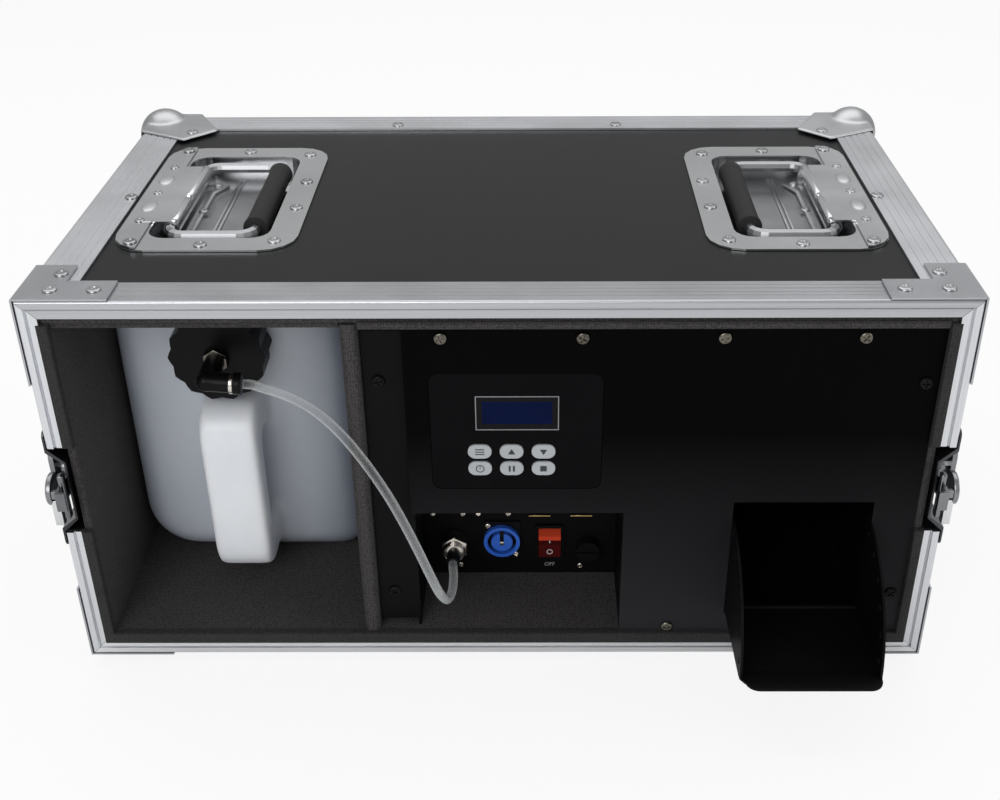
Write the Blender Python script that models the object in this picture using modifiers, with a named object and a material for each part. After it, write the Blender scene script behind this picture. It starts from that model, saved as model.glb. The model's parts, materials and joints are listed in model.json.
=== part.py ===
"""Fog machine in an aluminium-edged flight case, built as separate named pieces.

Working axes: X runs across the front, Y from the front plane of the case to its back,
Z up from the underside of the case. Metres. The case hangs on one empty, which puts
the centre of the footprint at the world origin and the soles of the feet at Z = 0.
"""

import math

import bmesh
import bpy
from mathutils import Matrix, Vector

# Case
CASE_WIDTH = 0.550
CASE_DEPTH = 0.322
CASE_HEIGHT = 0.262
PANEL_THICK = 0.009
LINING_THICK = 0.005
CLEARANCE = 0.0003
EDGE_FLANGE = 0.030
EDGE_WALL = 0.0015
EDGE_CORNER_RADIUS = 0.003
EDGE_GROOVES = 4
EDGE_GROOVE_DEPTH = 0.0004
FRAME_FLANGE = 0.0255
FRAME_FACE = 0.0113
FRAME_STEP = 0.0012
FRAME_BAND = 0.0047
FRAME_LIP_BACK = 0.0036
BALL_RADIUS = 0.0124
BALL_INSET = 0.0064
BALL_PLATE_REACH = 0.050
SHEET_STEEL = 0.0012
BRACE_LEG = 0.055
BRACE_SIDE_LEG = 0.047
BRACE_WIDTH = 0.0250
BRACE_CORNER_RADIUS = 0.004
BRACE_FOLD_ROUND = 0.0004
RIVET_RADIUS = 0.0021
RIVET_INSET = 0.012
FOOT_RADIUS = 0.016
FOOT_TAPER = 0.0025
FOOT_REACH = 0.009
FOOT_INSET_X = 0.060
FOOT_INSET_Y = 0.050

# Divider between the fluid bay and the machine bay
DIVIDER_THICK = 0.0106
DIVIDER_FRONT = 0.0032
DIVIDER_ROUND = 0.0045

# Sprung recessed handles in the top
HANDLE_EDGE_GAP = 0.03335
HANDLE_WIDTH = 0.114
HANDLE_LENGTH = 0.180
HANDLE_CORNER_RADIUS = 0.022
HANDLE_FLANGE = 0.0185
DISH_DEPTH = 0.0142
DISH_CORNER_RADIUS = 0.012
BAIL_ROD_RADIUS = 0.00375
BAIL_LENGTH = 0.120
BAIL_REACH = 0.054
BAIL_BEND_RADIUS = 0.010
BAIL_AXIS_INSET = 0.0110
GRIP_RADIUS = 0.0080
GRIP_END_ROUND = 0.0012
GRIP_LENGTH = 0.098
HINGE_TONGUE_LENGTH = 0.098
HINGE_PLATE_WIDTH = 0.0165
HINGE_PLATE_STEP = 0.0001

# Butterfly latches on the sides
LATCH_RISE = 0.0006
LATCH_GAP = 0.0600
LATCH_POCKET_DEPTH = 0.0085
LATCH_POCKET_LENGTH = 0.056
LATCH_SLOPE = 0.010
LATCH_FLANGE_LENGTH = 0.070
LATCH_FLANGE_HEIGHT = 0.085
LATCH_PIVOT_Y = 0.030
LATCH_BASE_LENGTH = 0.036
LATCH_BASE_HEIGHT = 0.026
LATCH_BASE_THICK = 0.0025
HOOK_WIDTH = 0.013
HOOK_THICK = 0.002
HOOK_NOSE_REACH = 0.012
HOOK_NOSE_DROP = 0.004
HOOK_TAIL = 0.044
HOOK_TRAVEL = 0.008
WING_PIN_RADIUS = 0.003
WING_HUB_RADIUS = 0.007
WING_STANDOFF = 0.0055
WING_THICK = 0.003
WING_HEIGHT = 0.046
WING_WIDTH = 0.024

# Fluid can
CAN_SIDE_GAP = 0.004
CAN_TOP_GAP = 0.0075
CAN_BACK_GAP = 0.0119
CAN_FRONT = 0.086
CAN_CORNER = 0.026
CAN_CORNER_STEPS = 4
NECK_OFFSET = -0.0050
NECK_DROP = 0.0460
NECK_RADIUS = 0.024
CAP_RADIUS = 0.0300
CAP_LOBE = 0.0011
CAP_LOBES = 14
CAP_LOBE_STEPS = 4
CAP_HEIGHT = 0.024
CAP_FRONT = 0.060
CAP_EDGE_ROUND = 0.0035
CAN_HANDLE_OFFSET = -0.0048
CAN_HANDLE_WIDTH = 0.036
CAN_HANDLE_FRONT = 0.046
CAN_HANDLE_BAR = 0.020
CAN_HANDLE_DROP = 0.0804
CAN_HANDLE_RISE = 0.0136
CAN_HANDLE_END = 0.026
CAN_HANDLE_ROUND = 0.007
CAN_HANDLE_STEPS = 3

# Fluid line
STEM_RADIUS = 0.0050
ELBOW_HEX_RADIUS = 0.0085
ELBOW_HEX_HEIGHT = 0.005
ELBOW_BODY_RADIUS = 0.0064
ELBOW_POST_LENGTH = 0.024
ELBOW_ARM_DROP = math.radians(-5.0)
ELBOW_ARM_LENGTH = 0.022
TUBE_RADIUS = 0.003
TUBE_STEP = 0.016
TUBE_STRAIGHT = 0.005
TUBE_DIVIDER_SIDE = 0.0002
TUBE_DIVIDER_STANDOFF = 0.0054
TUBE_DIVIDER_DROP = 0.0216
TUBE_BOWS_TO_DIVIDER = (
    (-0.0012, -0.0008, 0.0048),
    (-0.0014, -0.0004, 0.0080),
    (-0.0012, 0.0004, 0.0088),
    (-0.0008, 0.0004, 0.0066),
)
TUBE_BOWS_TO_FITTING = (
    (0.0068, -0.0098, -0.0025),
    (0.0124, -0.0165, -0.0096),
    (0.0158, -0.0213, -0.0182),
    (0.0176, -0.0250, -0.0263),
    (0.0182, -0.0274, -0.0338),
    (0.0174, -0.0266, -0.0394),
    (0.0155, -0.0206, -0.0400),
    (0.0121, -0.0114, -0.0300),
    (0.0066, -0.0026, -0.0145),
)
FITTING_SHARE = 0.1654
FITTING_RISE = 0.0286
FITTING_REACH = 0.024
FITTING_HEX_RADIUS = 0.0095
FITTING_HEX_HEIGHT = 0.009
FITTING_RING_RADIUS = 0.0074

# Machine in the right-hand bay
MACHINE_WIDTH = 0.296
MACHINE_SIDE_GAP = 0.0199
MACHINE_DIVIDER_GAP = 0.0249
MACHINE_FRONT = 0.0100
MACHINE_BACK_GAP = 0.0259
MACHINE_TOP_GAP = 0.0015
SHEET_METAL = 0.0015
EAR_END_GAP = 0.006
COVER_FRONT = 0.0040
BAY_WIDTH = 0.133
BAY_HEIGHT = 0.0956
BAY_BACK = 0.065
WINDOW_INSET = 0.0143
WINDOW_RISE = 0.0185
WINDOW_WIDTH = 0.104
WINDOW_HEIGHT = 0.082
WINDOW_CORNER = 0.006
OVERLAY_THICK = 0.002
OVERLAY_RECESS = 0.0004
SCREEN_INSET = 0.0277
SCREEN_RISE = 0.0430
SCREEN_WIDTH = 0.0497
SCREEN_HEIGHT = 0.0233
SCREEN_RECESS = 0.0006
KEY_WIDTH = 0.0145
KEY_HEIGHT = 0.0098
KEY_PITCH = 0.0194
KEY_COLUMNS = 3
KEY_INSET = 0.0296
KEY_ROW_RISES = (0.0277, 0.0155)
KEY_PROUD = 0.0011
KEY_DEPTH = 0.0040
KEY_EDGE_ROUND = 0.0006
OUTLET_SIDE_GAP = 0.0070
OUTLET_RISE = 0.0146
OUTLET_WIDTH = 0.0876
OUTLET_HEIGHT = 0.0890
HOPPER_HINGE_RISE = 0.0025
HOPPER_HINGE_Y = 0.0050
HOPPER_LENGTH = 0.077
HOPPER_TILT = math.radians(-2.75)
HOPPER_LIP = 0.006
HOPPER_CORNER = 0.010
HOPPER_PIN_RADIUS = 0.0022
CHEEK_HOLES = 6
CHEEK_HOLE_RADIUS = 0.0022
CHEEK_HOLE_INSET = 0.0070

# Connectors in the recess
INLET_SHARE = 0.4105
INLET_RISE = 0.0302
INLET_RADIUS = 0.0125
INLET_REACH = 0.0050
INLET_SOCKET_RADIUS = 0.0100
INLET_POST_RADIUS = 0.0074
INLET_SOCKET_DEPTH = 0.0042
ROCKER_SHARE = 0.6586
ROCKER_RISE = 0.0276
ROCKER_WIDTH = 0.0152
ROCKER_HALF_HEIGHT = 0.0104
ROCKER_REACH = 0.0055
ROCKER_DISH = 0.0020
ROCKER_BACK = 0.0040
ROCKER_REST = math.radians(11.0)
BEZEL_WIDTH = 0.0205
BEZEL_HEIGHT = 0.0290
BEZEL_THICK = 0.0020
FUSE_SHARE = 0.8571
FUSE_RISE = 0.0236
FUSE_RADIUS = 0.0082
FUSE_REACH = 0.0080
FUSE_SLOT_WIDTH = 0.0016
FUSE_SLOT_DEPTH = 0.0014
SOCKET_RISE = 0.0666
SOCKET_WIDTH = 0.026
SOCKET_HEIGHT = 0.031
SOCKET_THICK = 0.002
SOCKET_BORE = 0.0095
ROUND_SOCKET_SHARES = (0.1353, 0.3684)
SQUARE_SOCKET_SHARES = (0.6060, 0.8195)
SQUARE_SOCKET_BORE = 0.0125

# Working parts inside the machine
HEATER_INSET = 0.091
HEATER_BAY_GAP = 0.025
HEATER_WIDTH = 0.066
HEATER_LENGTH = 0.150
HEATER_HEIGHT = 0.058
HEATER_FINS = 5
HEATER_FIN_WIDTH = 0.0045
HEATER_FIN_DEPTH = 0.008
PIPE_RADIUS = 0.006
PIPE_REACH = 0.080
PUMP_INSET = 0.027
PUMP_BAY_GAP = 0.025
PUMP_RADIUS = 0.019
PUMP_LENGTH = 0.085
PUMP_BASE = 0.012
FAN_BACK_GAP = 0.050
FAN_SIZE = 0.092
FAN_THICK = 0.025
FAN_BORE = 0.043
FAN_HUB_RADIUS = 0.018
FAN_BLADES = 7
FAN_BLADE_TIP_GAP = 0.0015
FAN_BLADE_THICK = 0.002
FAN_BLADE_PITCH = math.radians(38.0)
FAN_BLADE_SHARE = 0.8
FAN_STRUT_WIDTH = 0.006
FAN_STRUT_THICK = 0.004
FAN_SHAFT_RADIUS = 0.0025

# Facets
ARC_STEPS = 4
ROUND_SIDES = 24
SMALL_SIDES = 16
RIVET_SIDES = 8
SMOOTH_ANGLE = 35.0
ROD_SMOOTH_ANGLE = 50.0
BEVEL_ANGLE = 40.0
LOBE_BEVEL_ANGLE = 60.0
WELD = 1e-6
OVERCUT = 0.002

# Places worked out from the sizes above
HALF_WIDTH = CASE_WIDTH / 2
SKIN = EDGE_WALL + CLEARANCE
PANEL_TOP = CASE_HEIGHT - SKIN
PANEL_INNER = SKIN + PANEL_THICK
LINING_INNER = PANEL_INNER + CLEARANCE + LINING_THICK
FLOOR_Z = LINING_INNER
CEILING_Z = CASE_HEIGHT - LINING_INNER
BAY_WALL_X = HALF_WIDTH - LINING_INNER
BACK_WALL_Y = CASE_DEPTH - LINING_INNER
FRAME_BACK = FRAME_LIP_BACK + CLEARANCE
RIVET_Y = EDGE_CORNER_RADIUS + (FRAME_FLANGE - EDGE_CORNER_RADIUS) / (EDGE_GROOVES + 1) * 3 / 2
HANDLE_OFFSET_X = HALF_WIDTH - HANDLE_EDGE_GAP - HANDLE_WIDTH / 2
LATCH_Z = CASE_HEIGHT / 2 + LATCH_RISE
MACHINE_RIGHT = BAY_WALL_X - MACHINE_SIDE_GAP
MACHINE_LEFT = MACHINE_RIGHT - MACHINE_WIDTH
MACHINE_BACK = BACK_WALL_Y - MACHINE_BACK_GAP
DIVIDER_RIGHT = MACHINE_LEFT - MACHINE_DIVIDER_GAP
DIVIDER_LEFT = DIVIDER_RIGHT - DIVIDER_THICK
CHASSIS_BOTTOM = FLOOR_Z + CLEARANCE
CHASSIS_TOP = CEILING_Z - MACHINE_TOP_GAP
CHASSIS_FLOOR = CHASSIS_BOTTOM + SHEET_METAL + CLEARANCE
CAN_BOTTOM = FLOOR_Z + CLEARANCE
CAN_TOP = CEILING_Z - CAN_TOP_GAP
FLUID_BAY_MIDDLE = (DIVIDER_LEFT - BAY_WALL_X) / 2
NECK_X = FLUID_BAY_MIDDLE + NECK_OFFSET
NECK_Z = CAN_TOP - NECK_DROP
CAN_HANDLE_X = FLUID_BAY_MIDDLE + CAN_HANDLE_OFFSET
CAN_HANDLE_TOP = CAN_TOP - CAN_HANDLE_DROP
CAN_HANDLE_FOOT = CAN_BOTTOM + CAN_HANDLE_RISE
BAY_RIGHT = MACHINE_LEFT + BAY_WIDTH
BAY_TOP = CHASSIS_BOTTOM + BAY_HEIGHT
WINDOW_LEFT = MACHINE_LEFT + WINDOW_INSET
WINDOW_RIGHT = WINDOW_LEFT + WINDOW_WIDTH
WINDOW_BOTTOM = BAY_TOP + WINDOW_RISE
WINDOW_TOP = WINDOW_BOTTOM + WINDOW_HEIGHT
SCREEN_LEFT = WINDOW_LEFT + SCREEN_INSET
SCREEN_RIGHT = SCREEN_LEFT + SCREEN_WIDTH
SCREEN_BOTTOM = WINDOW_BOTTOM + SCREEN_RISE
SCREEN_TOP = SCREEN_BOTTOM + SCREEN_HEIGHT
OUTLET_RIGHT = MACHINE_RIGHT - OUTLET_SIDE_GAP
OUTLET_LEFT = OUTLET_RIGHT - OUTLET_WIDTH
OUTLET_BOTTOM = CHASSIS_BOTTOM + OUTLET_RISE
OUTLET_TOP = OUTLET_BOTTOM + OUTLET_HEIGHT
FITTING_X = MACHINE_LEFT + BAY_WIDTH * FITTING_SHARE
FITTING_Z = CHASSIS_BOTTOM + FITTING_RISE
INLET_X = MACHINE_LEFT + BAY_WIDTH * INLET_SHARE
INLET_Z = CHASSIS_BOTTOM + INLET_RISE
ROCKER_X = MACHINE_LEFT + BAY_WIDTH * ROCKER_SHARE
ROCKER_Z = CHASSIS_BOTTOM + ROCKER_RISE
FUSE_X = MACHINE_LEFT + BAY_WIDTH * FUSE_SHARE
FUSE_Z = CHASSIS_BOTTOM + FUSE_RISE
SOCKET_Z = CHASSIS_BOTTOM + SOCKET_RISE
HEATER_X = MACHINE_LEFT + HEATER_INSET
HEATER_Y = BAY_BACK + HEATER_BAY_GAP
PUMP_X = MACHINE_LEFT + PUMP_INSET
PUMP_Y = BAY_BACK + PUMP_BAY_GAP
FAN_X = (OUTLET_LEFT + OUTLET_RIGHT) / 2
FAN_Y = MACHINE_BACK - FAN_BACK_GAP - FAN_THICK
DISH_RIM_Z = PANEL_TOP + CLEARANCE + SHEET_STEEL
HINGE_CURL = BAIL_ROD_RADIUS + CLEARANCE + SHEET_STEEL
DISH_FLOOR_Z = DISH_RIM_Z - DISH_DEPTH
BAIL_AXIS_Z = DISH_RIM_Z + CLEARANCE + SHEET_STEEL - HINGE_CURL
HOPPER_HINGE_Z = OUTLET_BOTTOM + HOPPER_HINGE_RISE


def clear_scene():
    for item in list(bpy.data.objects):
        bpy.data.objects.remove(item, do_unlink=True)


def make_collection(name):
    collection = bpy.data.collections.new(name)
    bpy.context.scene.collection.children.link(collection)
    return collection


def make_material(name, colour, roughness, metallic):
    material = bpy.data.materials.new(name)
    material.use_nodes = True
    shader = material.node_tree.nodes["Principled BSDF"]
    shader.inputs["Base Color"].default_value = (*colour, 1.0)
    shader.inputs["Roughness"].default_value = roughness
    shader.inputs["Metallic"].default_value = metallic
    return material


clear_scene()
PARTS = make_collection("fog_machine")
CUTTERS = make_collection("fog_machine_cutters")
ROOT = bpy.data.objects.new("case_frame", None)
PARTS.objects.link(ROOT)

LAMINATE = make_material("black_laminate", (0.018, 0.018, 0.019), 0.45, 0.0)
ALUMINIUM = make_material("mill_aluminium", (0.42, 0.42, 0.43), 0.35, 1.0)
ZINC = make_material("zinc_plated_steel", (0.50, 0.50, 0.51), 0.32, 1.0)
FOAM = make_material("charcoal_lining", (0.032, 0.030, 0.031), 0.95, 0.0)
RUBBER = make_material("black_rubber", (0.012, 0.012, 0.012), 0.75, 0.0)
BLACK_STEEL = make_material("black_powder_coat", (0.010, 0.010, 0.011), 0.5, 0.0)
CAN_PLASTIC = make_material("milky_polyethylene", (0.78, 0.80, 0.82), 0.4, 0.0)
BLACK_PLASTIC = make_material("black_plastic", (0.015, 0.015, 0.015), 0.45, 0.0)
NICKEL = make_material("nickel_plate", (0.60, 0.58, 0.55), 0.25, 1.0)
CLEAR_TUBE = make_material("clear_tube", (0.75, 0.76, 0.75), 0.2, 0.0)
KEY_GREY = make_material("grey_keys", (0.38, 0.40, 0.42), 0.5, 0.0)
SWITCH_RED = make_material("red_rocker", (0.55, 0.04, 0.02), 0.3, 0.0)
INLET_BLUE = make_material("blue_inlet", (0.03, 0.10, 0.50), 0.4, 0.0)
BARE_METAL = make_material("cast_aluminium", (0.45, 0.45, 0.44), 0.5, 1.0)


def add_mesh(name, mesh, material, parent=None):
    part = bpy.data.objects.new(name, mesh)
    PARTS.objects.link(part)
    part.parent = parent or ROOT
    mesh.materials.clear()
    mesh.materials.append(material)
    return part


def mesh_from(name, bm):
    bmesh.ops.remove_doubles(bm, verts=bm.verts, dist=WELD)
    bmesh.ops.recalc_face_normals(bm, faces=bm.faces)
    mesh = bpy.data.meshes.new(name)
    bm.to_mesh(mesh)
    bm.free()
    return mesh


def smooth(part, angle=SMOOTH_ANGLE):
    part.data.shade_smooth()
    part.data.set_sharp_from_angle(angle=math.radians(angle))
    return part


def box(name, low, high, material, parent=None):
    bm = bmesh.new()
    low, high = Vector(low), Vector(high)
    size = Matrix.Diagonal((*(high - low), 1.0))
    bmesh.ops.create_cube(bm, size=1.0, matrix=Matrix.Translation((low + high) / 2) @ size)
    return add_mesh(name, mesh_from(name, bm), material, parent)


def prism(name, outlines, axis, low, high, material, parent=None):
    """Extrude flat outlines along an axis; outlines after the first are holes.

    Outline points are (x, y) for axis Z, (x, z) for axis Y and (y, z) for axis X.
    """
    data = bpy.data.curves.new(name, "CURVE")
    data.dimensions = "2D"
    data.fill_mode = "BOTH"
    data.extrude = (high - low) / 2
    for outline in outlines:
        spline = data.splines.new("POLY")
        spline.points.add(len(outline) - 1)
        for point, (a, b) in zip(spline.points, outline):
            point.co = (a, b, 0.0, 1.0)
        spline.use_cyclic_u = True
    middle = (low + high) / 2
    place = {
        "Z": Matrix(((1, 0, 0, 0), (0, 1, 0, 0), (0, 0, 1, middle), (0, 0, 0, 1))),
        "Y": Matrix(((1, 0, 0, 0), (0, 0, -1, middle), (0, 1, 0, 0), (0, 0, 0, 1))),
        "X": Matrix(((0, 0, 1, middle), (1, 0, 0, 0), (0, 1, 0, 0), (0, 0, 0, 1))),
    }[axis]
    return add_mesh(name, curve_mesh(name, data, place), material, parent)


def curve_mesh(name, data, place=None):
    """Turn a curve into a closed mesh with its caps welded on."""
    holder = bpy.data.objects.new(name + "_curve", data)
    PARTS.objects.link(holder)
    depsgraph = bpy.context.evaluated_depsgraph_get()
    mesh = bpy.data.meshes.new_from_object(holder.evaluated_get(depsgraph))
    bpy.data.objects.remove(holder, do_unlink=True)
    bm = bmesh.new()
    bm.from_mesh(mesh)
    if place is not None:
        bmesh.ops.transform(bm, matrix=place, verts=bm.verts)
    return mesh_from(name, bm)


def turned(name, profile, centre, axis, material, sides=ROUND_SIDES, parent=None):
    """Revolve (radius, height) points, listed top to bottom, round an axis through centre."""
    bm = bmesh.new()
    points = [bm.verts.new((radius, 0.0, height)) for radius, height in profile]
    for start, end in zip(points, points[1:]):
        bm.edges.new((start, end))
    bmesh.ops.spin(
        bm, geom=bm.verts[:] + bm.edges[:], cent=(0, 0, 0), axis=(0, 0, 1),
        angle=2 * math.pi, steps=sides, use_merge=True,
    )
    turn = Vector((0, 0, 1)).rotation_difference(Vector(axis)).to_matrix().to_4x4()
    bmesh.ops.transform(bm, matrix=Matrix.Translation(centre) @ turn, verts=bm.verts)
    return smooth(add_mesh(name, mesh_from(name, bm), material, parent))


def rod(name, points, radius, material, cyclic=False, resolution=2, parent=None):
    data = bpy.data.curves.new(name, "CURVE")
    data.dimensions = "3D"
    data.bevel_depth = radius
    data.bevel_resolution = resolution
    data.use_fill_caps = not cyclic
    spline = data.splines.new("POLY")
    spline.points.add(len(points) - 1)
    for point, place in zip(spline.points, points):
        point.co = (*place, 1.0)
    spline.use_cyclic_u = cyclic
    return smooth(add_mesh(name, curve_mesh(name, data), material, parent), ROD_SMOOTH_ANGLE)


def boolean(part, other, operation):
    modifier = part.modifiers.new(operation.lower(), "BOOLEAN")
    modifier.operation = operation
    modifier.object = other
    other.hide_render = True
    other.display_type = "WIRE"
    PARTS.objects.unlink(other)
    CUTTERS.objects.link(other)
    return part


def cut(part, other):
    return boolean(part, other, "DIFFERENCE")


def join(part, other):
    return boolean(part, other, "UNION")


def keep_common(part, other):
    return boolean(part, other, "INTERSECT")


def round_edges(part, width, segments=2, angle=BEVEL_ANGLE):
    modifier = part.modifiers.new("rounded_edges", "BEVEL")
    modifier.width = width
    modifier.segments = segments
    modifier.limit_method = "ANGLE"
    modifier.angle_limit = math.radians(angle)
    return part


def arc(centre_a, centre_b, radius, start, end, steps=ARC_STEPS):
    points = []
    for step in range(steps + 1):
        angle = math.radians(start + (end - start) * step / steps)
        points.append((centre_a + radius * math.cos(angle), centre_b + radius * math.sin(angle)))
    return points


def rounded_rectangle(a0, a1, b0, b1, radius, steps=ARC_STEPS):
    return (
        arc(a1 - radius, b1 - radius, radius, 0, 90, steps)
        + arc(a0 + radius, b1 - radius, radius, 90, 180, steps)
        + arc(a0 + radius, b0 + radius, radius, 180, 270, steps)
        + arc(a1 - radius, b0 + radius, radius, 270, 360, steps)
    )


def circle(a, b, radius, sides=SMALL_SIDES):
    return arc(a, b, radius, 0, 360, sides)[:-1]


def hexagon(a, b, radius):
    return circle(a, b, radius, 6)


def slice_off(part, point, normal):
    """Cut a mesh with a plane and close it, dropping the side that the normal points to."""
    bm = bmesh.new()
    bm.from_mesh(part.data)
    result = bmesh.ops.bisect_plane(
        bm, geom=bm.verts[:] + bm.edges[:] + bm.faces[:],
        plane_co=point, plane_no=normal, clear_outer=True,
    )
    rim = [item for item in result["geom_cut"] if isinstance(item, bmesh.types.BMEdge)]
    bmesh.ops.edgeloop_fill(bm, edges=rim)
    bmesh.ops.recalc_face_normals(bm, faces=bm.faces)
    bm.to_mesh(part.data)
    bm.free()


# Case panels, lining and divider

def handle_opening(side, spread):
    """Outline of a handle's cup, grown by spread on every side."""
    half_x = HANDLE_WIDTH / 2 - HANDLE_FLANGE + spread
    half_y = HANDLE_LENGTH / 2 - HANDLE_FLANGE + spread
    x, y = side * HANDLE_OFFSET_X, CASE_DEPTH / 2
    return rounded_rectangle(x - half_x, x + half_x, y - half_y, y + half_y, DISH_CORNER_RADIUS + spread)


def cut_handle_openings(part, low, high):
    for side in (-1, 1):
        opening = handle_opening(side, SHEET_STEEL + CLEARANCE)
        cut(part, prism(f"{part.name}_opening_{side}", [opening], "Z", low, high, LAMINATE))


def build_panels():
    across = HALF_WIDTH - SKIN
    back = CASE_DEPTH - SKIN
    top = box("case_top_panel", (-across, FRAME_BACK, CASE_HEIGHT - PANEL_INNER),
              (across, back, PANEL_TOP), LAMINATE)
    cut_handle_openings(top, CASE_HEIGHT - PANEL_INNER - OVERCUT, PANEL_TOP + OVERCUT)
    bottom = box("case_bottom_panel", (-across, FRAME_BACK, SKIN), (across, back, PANEL_INNER), LAMINATE)
    for x in (-HALF_WIDTH + FOOT_INSET_X, HALF_WIDTH - FOOT_INSET_X):
        for y in (FOOT_INSET_Y, CASE_DEPTH - FOOT_INSET_Y):
            profile = [
                (0.0, SKIN + PANEL_THICK / 2), (FOOT_RADIUS, SKIN + PANEL_THICK / 2),
                (FOOT_RADIUS, SKIN - FOOT_TAPER), (FOOT_RADIUS - FOOT_TAPER, -FOOT_REACH),
                (0.0, -FOOT_REACH),
            ]
            join(bottom, turned("rubber_foot", profile, (x, y, 0.0), (0, 0, 1), RUBBER, SMALL_SIDES))
    low = PANEL_INNER + CLEARANCE
    high = CASE_HEIGHT - PANEL_INNER - CLEARANCE
    for side, label in ((-1, "left"), (1, "right")):
        inner, outer = sorted((side * (HALF_WIDTH - PANEL_INNER), side * across))
        panel = box(f"case_{label}_panel", (inner, FRAME_BACK, low), (outer, back, high), LAMINATE)
        notch_half = LATCH_GAP / 2 + SHEET_STEEL + CLEARANCE
        notch = box("latch_notch", (inner - OVERCUT, FRAME_BACK - OVERCUT, LATCH_Z - notch_half),
                    (outer + OVERCUT, LATCH_POCKET_LENGTH + SHEET_STEEL + CLEARANCE, LATCH_Z + notch_half),
                    LAMINATE)
        cut(panel, notch)
    inside = HALF_WIDTH - PANEL_INNER - CLEARANCE
    box("case_back_panel", (-inside, back - PANEL_THICK, low), (inside, back, high), LAMINATE)


def build_lining():
    outer = HALF_WIDTH - PANEL_INNER - CLEARANCE
    low = PANEL_INNER + CLEARANCE
    high = CASE_HEIGHT - PANEL_INNER - CLEARANCE
    lining = box("foam_lining", (-outer, FRAME_BACK, low),
                 (outer, CASE_DEPTH - PANEL_INNER - CLEARANCE, high), FOAM)
    hollow = box("lining_hollow", (-BAY_WALL_X, FRAME_BACK - OVERCUT, FLOOR_Z),
                 (BAY_WALL_X, BACK_WALL_Y, CEILING_Z), FOAM)
    cut(lining, hollow)
    cut_handle_openings(lining, CEILING_Z - OVERCUT, high + OVERCUT)
    left = DIVIDER_LEFT
    front = arc(left + DIVIDER_ROUND, DIVIDER_FRONT + DIVIDER_ROUND, DIVIDER_ROUND, 180, 270)
    front += arc(DIVIDER_RIGHT - DIVIDER_ROUND, DIVIDER_FRONT + DIVIDER_ROUND, DIVIDER_ROUND, 270, 360)
    back = BACK_WALL_Y - CLEARANCE
    outline = front + [(DIVIDER_RIGHT, back), (left, back)]
    prism("padded_divider", [outline], "Z", FLOOR_Z + CLEARANCE, CEILING_Z - CLEARANCE, FOAM)


# Aluminium edges: plain angle round the back and sides, stepped profile round the front

def grooved_flange(length, start):
    """Points along the outer face of a flange, at depth zero, with fine V grooves."""
    points = []
    pitch = (length - start) / (EDGE_GROOVES + 1)
    for index in range(1, EDGE_GROOVES + 1):
        middle = start + pitch * index
        points += [
            (middle - EDGE_GROOVE_DEPTH, 0.0), (middle, EDGE_GROOVE_DEPTH),
            (middle + EDGE_GROOVE_DEPTH, 0.0),
        ]
    return points


def angle_profile():
    """Angle with its outer corner at the origin and both flanges running to plus."""
    corner = arc(EDGE_CORNER_RADIUS, EDGE_CORNER_RADIUS, EDGE_CORNER_RADIUS, 270, 180)
    first = grooved_flange(EDGE_FLANGE, EDGE_CORNER_RADIUS)
    tip = [(EDGE_FLANGE, 0.0), (EDGE_FLANGE, EDGE_WALL)]
    second = [(b, a) for a, b in first]
    return (
        list(reversed(tip)) + list(reversed(first)) + corner + second
        + [(0.0, EDGE_FLANGE), (EDGE_WALL, EDGE_FLANGE), (EDGE_WALL, EDGE_WALL)]
    )


def frame_profile():
    """Front frame: first value is depth behind the front plane, second is inward from the side."""
    flange = [(FRAME_FLANGE, EDGE_WALL), (FRAME_FLANGE, 0.0)]
    flange += list(reversed(grooved_flange(FRAME_FLANGE, EDGE_CORNER_RADIUS)))
    corner = arc(EDGE_CORNER_RADIUS / 2, EDGE_CORNER_RADIUS / 2, EDGE_CORNER_RADIUS / 2, 270, 180)
    face = [
        (0.0, FRAME_BAND), (FRAME_STEP + EDGE_WALL / 2, FRAME_BAND + EDGE_WALL / 2),
        (FRAME_STEP, FRAME_BAND + EDGE_WALL), (FRAME_STEP, FRAME_FACE),
        (FRAME_LIP_BACK, FRAME_FACE), (FRAME_LIP_BACK, EDGE_WALL),
    ]
    return flange + corner + face


def edge_rail(name, profile, along, first, second, corner, low, high):
    """Extrude a profile along one axis, its two legs running along the signed axes given."""
    axes = "XYZ"
    order = {"X": "YZ", "Y": "XZ", "Z": "XY"}[along]
    outline = []
    for a, b in profile:
        place = {first[1]: a if first[0] == "+" else -a, second[1]: b if second[0] == "+" else -b}
        outline.append(tuple(corner[axes.index(axis)] + place[axis] for axis in order))
    return prism(name, [outline], along, low, high, ALUMINIUM)


def build_edges():
    angle = angle_profile()
    front = FRAME_FLANGE + CLEARANCE
    start = EDGE_FLANGE + CLEARANCE
    for side, label in ((-1, "left"), (1, "right")):
        inward = "+X" if side < 0 else "-X"
        x = side * HALF_WIDTH
        edge_rail(f"edge_top_{label}", angle, "Y", inward, "-Z", (x, 0.0, CASE_HEIGHT),
                  front, CASE_DEPTH - start)
        edge_rail(f"edge_bottom_{label}", angle, "Y", inward, "+Z", (x, 0.0, 0.0),
                  front, CASE_DEPTH - start)
        edge_rail(f"edge_back_{label}", angle, "Z", inward, "-Y", (x, CASE_DEPTH, 0.0),
                  start, CASE_HEIGHT - start)
    span = HALF_WIDTH - start
    edge_rail("edge_back_top", angle, "X", "-Y", "-Z", (0.0, CASE_DEPTH, CASE_HEIGHT), -span, span)
    edge_rail("edge_back_bottom", angle, "X", "-Y", "+Z", (0.0, CASE_DEPTH, 0.0), -span, span)


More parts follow.
